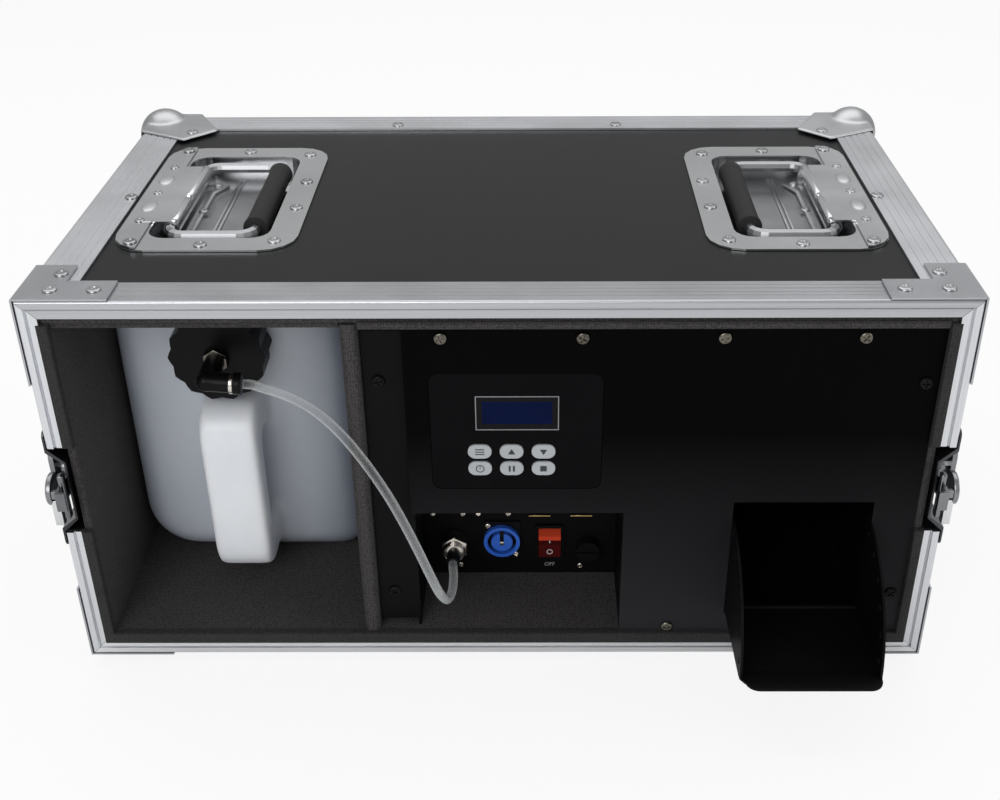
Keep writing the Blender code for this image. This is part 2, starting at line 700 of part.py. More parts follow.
def build_front_frame():
    profile = frame_profile()
    half_gap = LATCH_GAP / 2 + SHEET_STEEL + CLEARANCE
    mitre = CLEARANCE / 2
    for level, label in ((1, "top"), (-1, "bottom")):
        z = CASE_HEIGHT if level > 0 else 0.0
        inward = "-Z" if level > 0 else "+Z"
        rail = edge_rail(f"frame_{label}", profile, "X", "+Y", inward, (0.0, 0.0, z),
                         -HALF_WIDTH, HALF_WIDTH)
        for side in (-1, 1):
            slice_off(rail, (side * (HALF_WIDTH - mitre), 0.0, z), (side, 0.0, -level))
        add_braces(rail, level, z)
        for side, side_label in ((-1, "left"), (1, "right")):
            side_inward = "+X" if side < 0 else "-X"
            if level > 0:
                low, high = LATCH_Z + half_gap, CASE_HEIGHT
            else:
                low, high = 0.0, LATCH_Z - half_gap
            name = f"frame_{side_label}_{'upper' if level > 0 else 'lower'}"
            upright = edge_rail(name, profile, "Z", "+Y", side_inward, (side * HALF_WIDTH, 0.0, 0.0),
                                low, high)
            slice_off(upright, (side * HALF_WIDTH, 0.0, z - level * mitre), (-side, 0.0, level))


def add_braces(rail, level, z):
    """Folded steel corner braces, riveted over the mitred front corners."""
    for side in (-1, 1):
        outer = HALF_WIDTH + CLEARANCE + SHEET_STEEL
        edge = outer - BRACE_FOLD_ROUND
        flat = [
            (side * edge, BRACE_FOLD_ROUND), (side * (outer - BRACE_LEG), BRACE_FOLD_ROUND),
            (side * (outer - BRACE_LEG), BRACE_WIDTH), (side * (outer - BRACE_WIDTH), BRACE_WIDTH),
            (side * (outer - BRACE_WIDTH), BRACE_SIDE_LEG - BRACE_FOLD_ROUND),
            (side * edge, BRACE_SIDE_LEG - BRACE_FOLD_ROUND),
        ]
        top = z + level * (CLEARANCE + SHEET_STEEL)
        plate = prism("brace_flat", [flat], "Z", *sorted((z + level * CLEARANCE, top)), ZINC)
        for inset in (RIVET_INSET, BRACE_LEG - RIVET_INSET):
            rivet = circle(side * (outer - inset), RIVET_Y, RIVET_RADIUS, RIVET_SIDES)
            ends = sorted((z - level * EDGE_WALL / 2, z + level * (CLEARANCE + SHEET_STEEL / 2)))
            join(plate, prism("brace_rivet", [rivet], "Z", *ends, ZINC))
        fold_top = top - level * BRACE_FOLD_ROUND
        fold = [
            (0.0, fold_top), (0.0, z - level * BRACE_LEG),
            (BRACE_WIDTH - BRACE_CORNER_RADIUS, z - level * BRACE_LEG),
            (BRACE_WIDTH, z - level * (BRACE_LEG - BRACE_CORNER_RADIUS)),
            (BRACE_WIDTH, z - level * BRACE_WIDTH), (BRACE_SIDE_LEG, z - level * BRACE_WIDTH),
            (BRACE_SIDE_LEG, fold_top),
        ]
        sides = sorted((side * (HALF_WIDTH + CLEARANCE), side * outer))
        join(plate, prism("brace_fold", [fold], "X", *sides, ZINC))
        join(rail, plate)


def build_ball_corners():
    plate = SHEET_STEEL + CLEARANCE
    for side, side_label in ((-1, "left"), (1, "right")):
        for level, level_label in ((1, "top"), (-1, "bottom")):
            z = CASE_HEIGHT if level > 0 else 0.0
            corner = Vector((side * HALF_WIDTH, CASE_DEPTH, z))
            outward = Vector((side, 1, level))
            far = corner + outward * plate
            near = corner - outward * BALL_PLATE_REACH
            shell = block(f"ball_corner_{level_label}_{side_label}", far, near)
            keep_common(shell, sphere("corner_round", corner, BALL_PLATE_REACH, ROUND_SIDES))
            middle = corner - outward * BALL_INSET
            cut(shell, block("corner_tip", middle, far + outward * OVERCUT))
            join(shell, sphere("corner_ball", middle, BALL_RADIUS, ROUND_SIDES))
            core = block("corner_core", corner + outward * CLEARANCE, near - outward * OVERCUT)
            cut(shell, core)
            smooth(shell)


def block(name, first, second):
    """Box between two opposite corners given in any order."""
    low = [min(a, b) for a, b in zip(first, second)]
    high = [max(a, b) for a, b in zip(first, second)]
    return box(name, low, high, ZINC)


def sphere(name, centre, radius, sides):
    bm = bmesh.new()
    bmesh.ops.create_uvsphere(bm, u_segments=sides, v_segments=sides // 2, radius=radius,
                              matrix=Matrix.Translation(centre))
    return add_mesh(name, mesh_from(name, bm), ZINC)


# Sprung handles

def build_handles():
    for side, label in ((-1, "left"), (1, "right")):
        build_handle_dish(side, label)
        build_bail(side, label)


def build_handle_dish(side, label):
    x, y = side * HANDLE_OFFSET_X, CASE_DEPTH / 2
    seat = PANEL_TOP + CLEARANCE
    rim = rounded_rectangle(x - HANDLE_WIDTH / 2, x + HANDLE_WIDTH / 2, y - HANDLE_LENGTH / 2,
                            y + HANDLE_LENGTH / 2, HANDLE_CORNER_RADIUS)
    dish = prism(f"handle_{label}_dish", [rim], "Z", seat, seat + SHEET_STEEL, ZINC)
    cup = prism("dish_cup", [handle_opening(side, SHEET_STEEL)], "Z",
                DISH_FLOOR_Z - SHEET_STEEL, seat + SHEET_STEEL / 2, ZINC)
    join(dish, cup)
    cut(dish, prism("dish_hollow", [handle_opening(side, 0.0)], "Z", DISH_FLOOR_Z, seat + OVERCUT, ZINC))
    build_hinge_cover(side, label)


def build_hinge_cover(side, label):
    """Plate over the outer flange whose tongue curls round the bail's hinge bar."""
    x, y = side * HANDLE_OFFSET_X, CASE_DEPTH / 2
    axis_x = bail_axis_x(side)
    plate_outer = abs(x) + HANDLE_WIDTH / 2 - CLEARANCE
    plate_inner = plate_outer - HINGE_PLATE_WIDTH
    reach = plate_inner + HINGE_PLATE_WIDTH / 2 - abs(axis_x)
    meet = 180 - math.degrees(math.asin((HINGE_CURL - SHEET_STEEL) / HINGE_CURL))
    curl = arc(0.0, 0.0, HINGE_CURL, 90, meet - 360, 3 * ARC_STEPS)
    outline = [(-reach, HINGE_CURL)] + curl + [(-reach, HINGE_CURL - SHEET_STEEL)]
    outline = [(axis_x - side * inward, BAIL_AXIS_Z + rise) for inward, rise in outline]
    bore = circle(axis_x, BAIL_AXIS_Z, BAIL_ROD_RADIUS + CLEARANCE)
    half = HINGE_TONGUE_LENGTH / 2
    cover = prism(f"handle_{label}_hinge_cover", [outline], "Y", y - half, y + half, ZINC)
    cut(cover, prism("hinge_bore", [bore], "Y", y - half - OVERCUT, y + half + OVERCUT, ZINC))
    seat = DISH_RIM_Z + CLEARANCE
    corner = HANDLE_CORNER_RADIUS - CLEARANCE
    half = HANDLE_LENGTH / 2 - CLEARANCE
    ends = arc(plate_outer - corner, y + half - corner, corner, 0, 90)
    ends = [point for point in ends if point[0] > plate_inner]
    outline = [(plate_inner, 2 * y - ends[-1][1])] + [(a, 2 * y - b) for a, b in reversed(ends)]
    outline += ends + [(plate_inner, ends[-1][1])]
    outline = [(side * a, b) for a, b in outline]
    join(cover, prism("hinge_plate", [outline], "Z", seat + HINGE_PLATE_STEP,
                      seat + SHEET_STEEL - HINGE_PLATE_STEP, ZINC))


def bail_axis_x(side):
    return side * (HANDLE_OFFSET_X + HANDLE_WIDTH / 2 - HANDLE_FLANGE - BAIL_AXIS_INSET)


def build_bail(side, label):
    """Rod loop with a rubber grip; its origin is on the hinge axis at the outer side."""
    pivot = bpy.data.objects.new(f"handle_{label}_pivot", None)
    PARTS.objects.link(pivot)
    pivot.parent = ROOT
    pivot.location = (bail_axis_x(side), CASE_DEPTH / 2, BAIL_AXIS_Z)
    half = BAIL_LENGTH / 2
    loop = rounded_rectangle(0.0, BAIL_REACH, -half, half, BAIL_BEND_RADIUS)
    points = [(-side * a, b, 0.0) for a, b in loop]
    rod(f"handle_{label}_bail", points, BAIL_ROD_RADIUS, ZINC, cyclic=True, parent=pivot)
    hole = BAIL_ROD_RADIUS + CLEARANCE
    grip_half = GRIP_LENGTH / 2
    edge = GRIP_RADIUS - GRIP_END_ROUND
    profile = [(hole, grip_half), (edge, grip_half), (GRIP_RADIUS, grip_half - GRIP_END_ROUND),
               (GRIP_RADIUS, GRIP_END_ROUND - grip_half), (edge, -grip_half), (hole, -grip_half),
               (hole, grip_half)]
    turned(f"handle_{label}_grip", profile, (-side * BAIL_REACH, 0.0, 0.0), (0, 1, 0), RUBBER,
           SMALL_SIDES, parent=pivot)


# Butterfly latches

def build_latches():
    for side, label in ((-1, "left"), (1, "right")):
        build_latch_dish(side, label)
        build_hook(side, label)
        build_wing(side, label)


def latch_trapezoid(side, spread, floor, rim):
    """Sloped pocket section, in (x, z), from the rim plane down to the pocket floor."""
    half = LATCH_GAP / 2 + spread
    floor_half = half - LATCH_SLOPE
    return [(side * rim, LATCH_Z - half), (side * rim, LATCH_Z + half),
            (side * floor, LATCH_Z + floor_half), (side * floor, LATCH_Z - floor_half)]


def build_latch_dish(side, label):
    rim = HALF_WIDTH + CLEARANCE
    floor = HALF_WIDTH - LATCH_POCKET_DEPTH
    half = LATCH_FLANGE_HEIGHT / 2
    flange = rounded_rectangle(CLEARANCE, LATCH_FLANGE_LENGTH, LATCH_Z - half, LATCH_Z + half,
                               BRACE_CORNER_RADIUS)
    xs = sorted((side * rim, side * (rim + SHEET_STEEL)))
    dish = prism(f"latch_{label}_dish", [flange], "X", *xs, ZINC)
    pan = latch_trapezoid(side, SHEET_STEEL, floor - SHEET_STEEL, rim + SHEET_STEEL / 2)
    join(dish, prism("latch_pan", [pan], "Y", CLEARANCE, LATCH_POCKET_LENGTH + SHEET_STEEL, ZINC))
    hollow = latch_trapezoid(side, 0.0, floor, rim + SHEET_STEEL + OVERCUT)
    cut(dish, prism("latch_hollow", [hollow], "Y", -OVERCUT, LATCH_POCKET_LENGTH, ZINC))
    base = rounded_rectangle(LATCH_PIVOT_Y - LATCH_BASE_LENGTH / 2, LATCH_PIVOT_Y + LATCH_BASE_LENGTH / 2,
                             LATCH_Z - LATCH_BASE_HEIGHT / 2, LATCH_Z + LATCH_BASE_HEIGHT / 2,
                             BRACE_CORNER_RADIUS)
    bore = circle(LATCH_PIVOT_Y, LATCH_Z, WING_PIN_RADIUS + CLEARANCE)
    xs = sorted((side * (floor - SHEET_STEEL / 2), side * (floor + LATCH_BASE_THICK)))
    join(dish, prism("latch_base", [base], "X", *xs, ZINC))
    xs = sorted((side * (floor - OVERCUT), side * (floor + LATCH_BASE_THICK + OVERCUT)))
    cut(dish, prism("latch_bore", [bore], "X", *xs, ZINC))


def hook_plane():
    return HALF_WIDTH - LATCH_POCKET_DEPTH + LATCH_BASE_THICK + CLEARANCE


def build_hook(side, label):
    """Sliding draw hook, slotted over the wing's pin, its nose in front of the case."""
    inner = hook_plane()
    half = HOOK_WIDTH / 2
    bar = [(-HOOK_NOSE_REACH, LATCH_Z - half), (HOOK_TAIL, LATCH_Z - half),
           (HOOK_TAIL, LATCH_Z + half), (-HOOK_NOSE_REACH, LATCH_Z + half)]
    reach = WING_PIN_RADIUS + CLEARANCE
    slot = arc(LATCH_PIVOT_Y, LATCH_Z, reach, -90, 90)
    slot += arc(LATCH_PIVOT_Y - HOOK_TRAVEL, LATCH_Z, reach, 90, 270)
    xs = sorted((side * inner, side * (inner + HOOK_THICK)))
    hook = prism(f"latch_{label}_hook", [bar, slot], "X", *xs, ZINC)
    nose = [min(side * (inner - HOOK_NOSE_DROP), side * (inner + HOOK_THICK / 2)),
            max(side * (inner - HOOK_NOSE_DROP), side * (inner + HOOK_THICK / 2))]
    join(hook, box("hook_nose", (nose[0], -HOOK_NOSE_REACH, LATCH_Z - half),
                   (nose[1], HOOK_THICK - HOOK_NOSE_REACH, LATCH_Z + half), ZINC))


def build_wing(side, label):
    """Butterfly key: pin through the hook, hub and a rounded wing; origin on its turning axis."""
    pivot = bpy.data.objects.new(f"latch_{label}_pivot", None)
    PARTS.objects.link(pivot)
    pivot.parent = ROOT
    pivot.location = (0.0, LATCH_PIVOT_Y, LATCH_Z)
    tip = HALF_WIDTH - LATCH_POCKET_DEPTH
    hub = hook_plane() + HOOK_THICK + CLEARANCE
    top = HALF_WIDTH + WING_STANDOFF
    profile = [(0.0, top + WING_THICK / 2), (WING_HUB_RADIUS, top + WING_THICK / 2), (WING_HUB_RADIUS, hub),
               (WING_PIN_RADIUS, hub), (WING_PIN_RADIUS, tip), (0.0, tip)]
    wing = turned(f"latch_{label}_wing", profile, (0, 0, 0), (side, 0, 0), ZINC, SMALL_SIDES, parent=pivot)
    blade = rounded_rectangle(-WING_WIDTH / 2, WING_WIDTH / 2, -WING_HEIGHT / 2, WING_HEIGHT / 2,
                              WING_WIDTH / 2 - CLEARANCE)
    xs = sorted((side * top, side * (top + WING_THICK)))
    join(wing, prism("wing_blade", [blade], "X", *xs, ZINC, parent=pivot))


# Fluid can, cap and fluid line

def build_can():
    left = -BAY_WALL_X + CAN_SIDE_GAP
    right = DIVIDER_LEFT - CAN_SIDE_GAP
    can = box("fluid_can", (left, CAN_FRONT, CAN_BOTTOM), (right, BACK_WALL_Y - CAN_BACK_GAP, CAN_TOP),
              CAN_PLASTIC)
    round_edges(can, CAN_CORNER, CAN_CORNER_STEPS)
    cap_back = CAP_FRONT + CAP_HEIGHT
    neck = [(0.0, CAN_CORNER), (NECK_RADIUS, CAN_CORNER),
            (NECK_RADIUS, -(CAN_FRONT - cap_back) + CLEARANCE), (0.0, -(CAN_FRONT - cap_back) + CLEARANCE)]
    join(can, turned("can_neck", neck, (NECK_X, CAN_FRONT, NECK_Z), (0, 1, 0), CAN_PLASTIC))
    foot = CAN_FRONT + CAN_HANDLE_BAR
    outer = rounded_rectangle(CAN_HANDLE_FRONT, foot, CAN_HANDLE_FOOT, CAN_HANDLE_TOP, CAN_HANDLE_BAR)
    inner = rounded_rectangle(CAN_HANDLE_FRONT + CAN_HANDLE_BAR, foot + OVERCUT,
                              CAN_HANDLE_FOOT + CAN_HANDLE_END, CAN_HANDLE_TOP - CAN_HANDLE_END,
                              CAN_HANDLE_ROUND)
    half = CAN_HANDLE_WIDTH / 2
    grip = prism("can_grip", [outer], "X", CAN_HANDLE_X - half, CAN_HANDLE_X + half, CAN_PLASTIC)
    round_edges(grip, CAN_HANDLE_ROUND, CAN_HANDLE_STEPS)
    gap = prism("can_finger_gap", [inner], "X", CAN_HANDLE_X - half - OVERCUT,
                CAN_HANDLE_X + half + OVERCUT, CAN_PLASTIC)
    cut(grip, gap)
    join(can, grip)
    smooth(can)


def build_cap():
    """Screw cap with finger lobes, turning round the neck's axis."""
    steps = CAP_LOBES * CAP_LOBE_STEPS
    outline = []
    for step in range(steps):
        angle = 2 * math.pi * step / steps
        radius = CAP_RADIUS + CAP_LOBE * math.cos(CAP_LOBES * angle)
        outline.append((radius * math.cos(angle), radius * math.sin(angle)))
    pivot = bpy.data.objects.new("cap_pivot", None)
    PARTS.objects.link(pivot)
    pivot.parent = ROOT
    pivot.location = (NECK_X, CAP_FRONT, NECK_Z)
    cap = prism("can_cap", [outline], "Y", 0.0, CAP_HEIGHT, BLACK_PLASTIC, parent=pivot)
    round_edges(cap, CAP_EDGE_ROUND, angle=LOBE_BEVEL_ANGLE)
    reach = STEM_RADIUS + CLEARANCE
    bore = [(0.0, CAP_HEIGHT + OVERCUT), (reach, CAP_HEIGHT + OVERCUT), (reach, -OVERCUT), (0.0, -OVERCUT)]
    cut(cap, turned("cap_bore", bore, (0, 0, 0), (0, 1, 0), BLACK_PLASTIC, SMALL_SIDES, parent=pivot))


def elbow_arm_direction():
    return Vector((math.cos(ELBOW_ARM_DROP), 0.0, math.sin(ELBOW_ARM_DROP)))


def elbow_centre():
    return Vector((NECK_X, CAP_FRONT - CLEARANCE - ELBOW_HEX_HEIGHT - ELBOW_POST_LENGTH, NECK_Z))


def build_elbow():
    """Push-in elbow: hexagon on the cap, stem down the bore, arm turned towards the machine."""
    face = CAP_FRONT - CLEARANCE
    elbow = prism("cap_elbow", [hexagon(NECK_X, NECK_Z, ELBOW_HEX_RADIUS)], "Y",
                  face - ELBOW_HEX_HEIGHT, face, NICKEL)
    stem = [(0.0, face + CAP_HEIGHT), (STEM_RADIUS, face + CAP_HEIGHT),
            (STEM_RADIUS, face - ELBOW_HEX_HEIGHT / 2), (0.0, face - ELBOW_HEX_HEIGHT / 2)]
    join(elbow, turned("elbow_stem", stem, (NECK_X, 0.0, NECK_Z), (0, 1, 0), NICKEL, SMALL_SIDES))
    centre = elbow_centre()
    depth = face - ELBOW_HEX_HEIGHT / 2
    post = [(0.0, depth), (ELBOW_BODY_RADIUS, depth), (ELBOW_BODY_RADIUS, centre.y), (0.0, centre.y)]
    join(elbow, turned("elbow_post", post, (NECK_X, 0.0, NECK_Z), (0, 1, 0), BLACK_PLASTIC, SMALL_SIDES))
    arm = [(0.0, ELBOW_ARM_LENGTH), (ELBOW_BODY_RADIUS, ELBOW_ARM_LENGTH), (ELBOW_BODY_RADIUS, 0.0),
           (0.0, 0.0)]
    join(elbow, turned("elbow_arm", arm, centre, elbow_arm_direction(), BLACK_PLASTIC, SMALL_SIDES))
    join(elbow, sphere("elbow_knee", centre, ELBOW_BODY_RADIUS, SMALL_SIDES))


def smooth_route(points, step):
    """Points at about even spacing on a smooth curve through the route's own points."""
    points = [Vector(point) for point in points]
    padded = [2 * points[0] - points[1]] + points + [2 * points[-1] - points[-2]]
    route = [points[0]]
    for before, start, end, after in zip(padded, padded[1:], padded[2:], padded[3:]):
        count = max(1, round((end - start).length / step))
        for index in range(1, count + 1):
            t = index / count
            route.append(
                0.5 * (2 * start + (end - before) * t + (2 * before - 5 * start + 4 * end - after) * t * t
                       + (3 * start - before - 3 * end + after) * t * t * t)
            )
    return route


def bowed(start, end, bows):
    """Points spaced evenly from start to end, each moved off the straight line by its bow."""
    count = len(bows) + 1
    return [start.lerp(end, index / count) + Vector(bow) for index, bow in enumerate(bows, 1)]


def build_fluid_line():
    """Tube from the elbow, over the front of the divider and down to the fitting in the recess."""
    exit_point = elbow_centre() + elbow_arm_direction() * (ELBOW_ARM_LENGTH + CLEARANCE)
    end_point = Vector((FITTING_X, BAY_BACK - CLEARANCE - FITTING_REACH - CLEARANCE, FITTING_Z))
    start = exit_point + elbow_arm_direction() * TUBE_STRAIGHT
    over = Vector((DIVIDER_LEFT - TUBE_DIVIDER_SIDE, DIVIDER_FRONT - TUBE_DIVIDER_STANDOFF,
                   NECK_Z - TUBE_DIVIDER_DROP))
    last = end_point - Vector((0.0, TUBE_STRAIGHT, 0.0))
    route = [exit_point, start] + bowed(start, over, TUBE_BOWS_TO_DIVIDER) + [over]
    route += bowed(over, last, TUBE_BOWS_TO_FITTING) + [last, end_point]
    rod("fluid_tube", smooth_route(route, TUBE_STEP), TUBE_RADIUS, CLEAR_TUBE, resolution=3)
    seat = BAY_BACK - CLEARANCE
    fitting = prism("bulkhead_fitting", [hexagon(FITTING_X, FITTING_Z, FITTING_HEX_RADIUS)], "Y",
                    seat - FITTING_HEX_HEIGHT, seat, NICKEL)
    ring = [(0.0, seat - FITTING_HEX_HEIGHT / 2), (FITTING_RING_RADIUS, seat - FITTING_HEX_HEIGHT / 2),
            (FITTING_RING_RADIUS, seat - FITTING_REACH), (0.0, seat - FITTING_REACH)]
    join(fitting, turned("fitting_ring", ring, (FITTING_X, 0.0, FITTING_Z), (0, 1, 0), NICKEL, SMALL_SIDES))


# Machine

def build_chassis():
    """Sheet-metal box, open to the front, with side ears and a recess for the connectors."""
    back = MACHINE_BACK
    chassis = box("machine_chassis", (MACHINE_LEFT, MACHINE_FRONT, CHASSIS_BOTTOM),
                  (MACHINE_RIGHT, back, CHASSIS_TOP), BLACK_STEEL)
    wall = SHEET_METAL
    hollow = box("chassis_hollow", (MACHINE_LEFT + wall, MACHINE_FRONT - OVERCUT, CHASSIS_BOTTOM + wall),
                 (MACHINE_RIGHT - wall, back - wall, CHASSIS_TOP - wall), BLACK_STEEL)
    bay_block = box("bay_block",
                    (MACHINE_LEFT - OVERCUT, MACHINE_FRONT - 2 * OVERCUT, CHASSIS_BOTTOM - OVERCUT),
                    (BAY_RIGHT + wall, BAY_BACK + wall, BAY_TOP + wall), BLACK_STEEL)
    cut(hollow, bay_block)
    cut(chassis, hollow)
    cut(chassis, box("bay_hollow", (MACHINE_LEFT + wall, MACHINE_FRONT - OVERCUT, CHASSIS_BOTTOM - OVERCUT),
                     (BAY_RIGHT, BAY_BACK, BAY_TOP), BLACK_STEEL))
    ears = ((DIVIDER_RIGHT + CLEARANCE, MACHINE_LEFT + wall / 2),
            (MACHINE_RIGHT - wall / 2, BAY_WALL_X - CLEARANCE))
    for low, high in ears:
        join(chassis, box("chassis_ear", (low, MACHINE_FRONT, CHASSIS_BOTTOM + EAR_END_GAP),
                          (high, MACHINE_FRONT + wall, CHASSIS_TOP - EAR_END_GAP), BLACK_STEEL))
    add_sockets(chassis)
    add_fan_frame(chassis)


def add_sockets(chassis):
    """Round data sockets, square data sockets and the rocker switch's bezel on the recess wall."""
    wall = BAY_BACK + SHEET_METAL
    front = BAY_BACK - 2 * SOCKET_THICK
    for share in ROUND_SOCKET_SHARES:
        x = MACHINE_LEFT + BAY_WIDTH * share
        add_socket_flange(chassis, "round_socket", x)
        bore = circle(x, SOCKET_Z, SOCKET_BORE)
        cut(chassis, prism("round_socket_bore", [bore], "Y", front, wall + OVERCUT, ZINC))
    for share in SQUARE_SOCKET_SHARES:
        x = MACHINE_LEFT + BAY_WIDTH * share
        add_socket_flange(chassis, "square_socket", x)
        half = SQUARE_SOCKET_BORE / 2
        cut(chassis, box("square_socket_bore", (x - half, front, SOCKET_Z - half),
                         (x + half, wall + OVERCUT, SOCKET_Z + half), ZINC))
    frame = rounded_rectangle(ROCKER_X - BEZEL_WIDTH / 2, ROCKER_X + BEZEL_WIDTH / 2,
                              ROCKER_Z - BEZEL_HEIGHT / 2, ROCKER_Z + BEZEL_HEIGHT / 2, SOCKET_THICK)
    join(chassis, prism("rocker_bezel", [frame], "Y", BAY_BACK - BEZEL_THICK, wall - SHEET_METAL / 2,
                        BLACK_PLASTIC))
    half_x = ROCKER_WIDTH / 2 + CLEARANCE
    half_z = rocker_radius() + CLEARANCE
    cut(chassis, box("rocker_window", (ROCKER_X - half_x, BAY_BACK - 2 * BEZEL_THICK, ROCKER_Z - half_z),
                     (ROCKER_X + half_x, wall + OVERCUT, ROCKER_Z + half_z), BLACK_PLASTIC))


def add_socket_flange(chassis, name, x):
    half_w, half_h = SOCKET_WIDTH / 2, SOCKET_HEIGHT / 2
    flange = rounded_rectangle(x - half_w, x + half_w, SOCKET_Z - half_h, SOCKET_Z + half_h, SOCKET_THICK)
    join(chassis, prism(name, [flange], "Y", BAY_BACK - SOCKET_THICK, BAY_BACK + SHEET_METAL / 2, ZINC))


def rocker_radius():
    return math.hypot(ROCKER_HALF_HEIGHT, ROCKER_REACH)


def add_fan_frame(chassis):
    """Square fan frame standing on the chassis floor, with a motor seat on four struts."""
    half = FAN_SIZE / 2
    z = CHASSIS_FLOOR + half
    back = FAN_Y + FAN_THICK
    frame = box("fan_frame", (FAN_X - half, FAN_Y, CHASSIS_BOTTOM + SHEET_METAL / 2),
                (FAN_X + half, back, z + half), BLACK_PLASTIC)
    cut(frame, prism("fan_bore", [circle(FAN_X, z, FAN_BORE, ROUND_SIDES)], "Y", FAN_Y - OVERCUT,
                     back + OVERCUT, BLACK_PLASTIC))
    seat = prism("fan_motor_seat", [circle(FAN_X, z, FAN_HUB_RADIUS)], "Y", back - FAN_STRUT_THICK, back,
                 BLACK_PLASTIC)
    reach = FAN_BORE + OVERCUT
    strut = FAN_STRUT_WIDTH / 2
    join(seat, box("fan_strut_across", (FAN_X - reach, back - FAN_STRUT_THICK / 2, z - strut),
                   (FAN_X + reach, back - CLEARANCE, z + strut), BLACK_PLASTIC))
    join(seat, box("fan_strut_upright", (FAN_X - strut, back - FAN_STRUT_THICK / 2, z - reach),
                   (FAN_X + strut, back - CLEARANCE, z + reach), BLACK_PLASTIC))
    bore = circle(FAN_X, z, FAN_SHAFT_RADIUS + CLEARANCE)
    cut(seat, prism("fan_shaft_bore", [bore], "Y", FAN_Y, back + OVERCUT, BLACK_PLASTIC))
    join(frame, seat)
    join(chassis, frame)


def build_fan_rotor():
    """Hub, shaft and pitched blades; its origin is on the shaft."""
    half = FAN_SIZE / 2
    pivot = bpy.data.objects.new("fan_pivot", None)
    PARTS.objects.link(pivot)
    pivot.parent = ROOT
    pivot.location = (FAN_X, FAN_Y, CHASSIS_FLOOR + half)
    hub_back = FAN_THICK - FAN_STRUT_THICK - CLEARANCE
    shaft_back = FAN_THICK - CLEARANCE
    profile = [(0.0, shaft_back), (FAN_SHAFT_RADIUS, shaft_back), (FAN_SHAFT_RADIUS, hub_back),
               (FAN_HUB_RADIUS, hub_back), (FAN_HUB_RADIUS, CLEARANCE), (0.0, CLEARANCE)]
    rotor = turned("fan_rotor", profile, (0, 0, 0), (0, 1, 0), BLACK_PLASTIC, SMALL_SIDES, parent=pivot)
    chord = (hub_back - 2 * CLEARANCE) / math.cos(FAN_BLADE_PITCH) * FAN_BLADE_SHARE
    tip = FAN_BORE - FAN_BLADE_TIP_GAP
    for index in range(FAN_BLADES):
        bm = bmesh.new()
        size = Matrix.Diagonal((FAN_BLADE_THICK, chord, tip - FAN_HUB_RADIUS / 2, 1.0))
        out = Matrix.Translation((0.0, hub_back / 2, (tip + FAN_HUB_RADIUS / 2) / 2))
        spin = Matrix.Rotation(2 * math.pi * index / FAN_BLADES, 4, "Y")
        pitch = Matrix.Rotation(FAN_BLADE_PITCH, 4, "Z")
        bmesh.ops.create_cube(bm, size=1.0, matrix=spin @ out @ pitch @ size)
        join(rotor, add_mesh("fan_blade", mesh_from("fan_blade", bm), BLACK_PLASTIC, pivot))


def build_cover():
    """Folded front cover with its keypad window, its outlet and the step over the connector recess."""
    low = CHASSIS_BOTTOM
    right = BAY_WALL_X - CLEARANCE
    outline = [(MACHINE_LEFT, CHASSIS_TOP), (MACHINE_LEFT, BAY_TOP), (BAY_RIGHT, BAY_TOP), (BAY_RIGHT, low),
               (right, low), (right, CHASSIS_TOP)]
    wall = SHEET_METAL
    window = rounded_rectangle(WINDOW_LEFT, WINDOW_RIGHT, WINDOW_BOTTOM, WINDOW_TOP, WINDOW_CORNER)
    outlet = [(OUTLET_LEFT, OUTLET_BOTTOM), (OUTLET_RIGHT, OUTLET_BOTTOM), (OUTLET_RIGHT, OUTLET_TOP),
              (OUTLET_LEFT, OUTLET_TOP)]
    cover = prism("front_cover", [outline], "Y", COVER_FRONT, MACHINE_FRONT - CLEARANCE, BLACK_STEEL)
    inside = [(MACHINE_LEFT + wall, CHASSIS_TOP - wall), (MACHINE_LEFT + wall, BAY_TOP + wall),
              (BAY_RIGHT + wall, BAY_TOP + wall), (BAY_RIGHT + wall, low + wall), (right - wall, low + wall),
              (right - wall, CHASSIS_TOP - wall)]
    cut(cover, prism("cover_hollow", [inside], "Y", COVER_FRONT + wall, MACHINE_FRONT + OVERCUT, BLACK_STEEL))
    for name, opening in (("cover_window", window), ("cover_outlet", outlet)):
        cut(cover, prism(name, [opening], "Y", COVER_FRONT - OVERCUT, COVER_FRONT + wall + OVERCUT,
                         BLACK_STEEL))


def key_outline(x, z, spread):
    half_x, half_z = KEY_WIDTH / 2 + spread, KEY_HEIGHT / 2 + spread
    return rounded_rectangle(x - half_x, x + half_x, z - half_z, z + half_z, half_z - CLEARANCE)


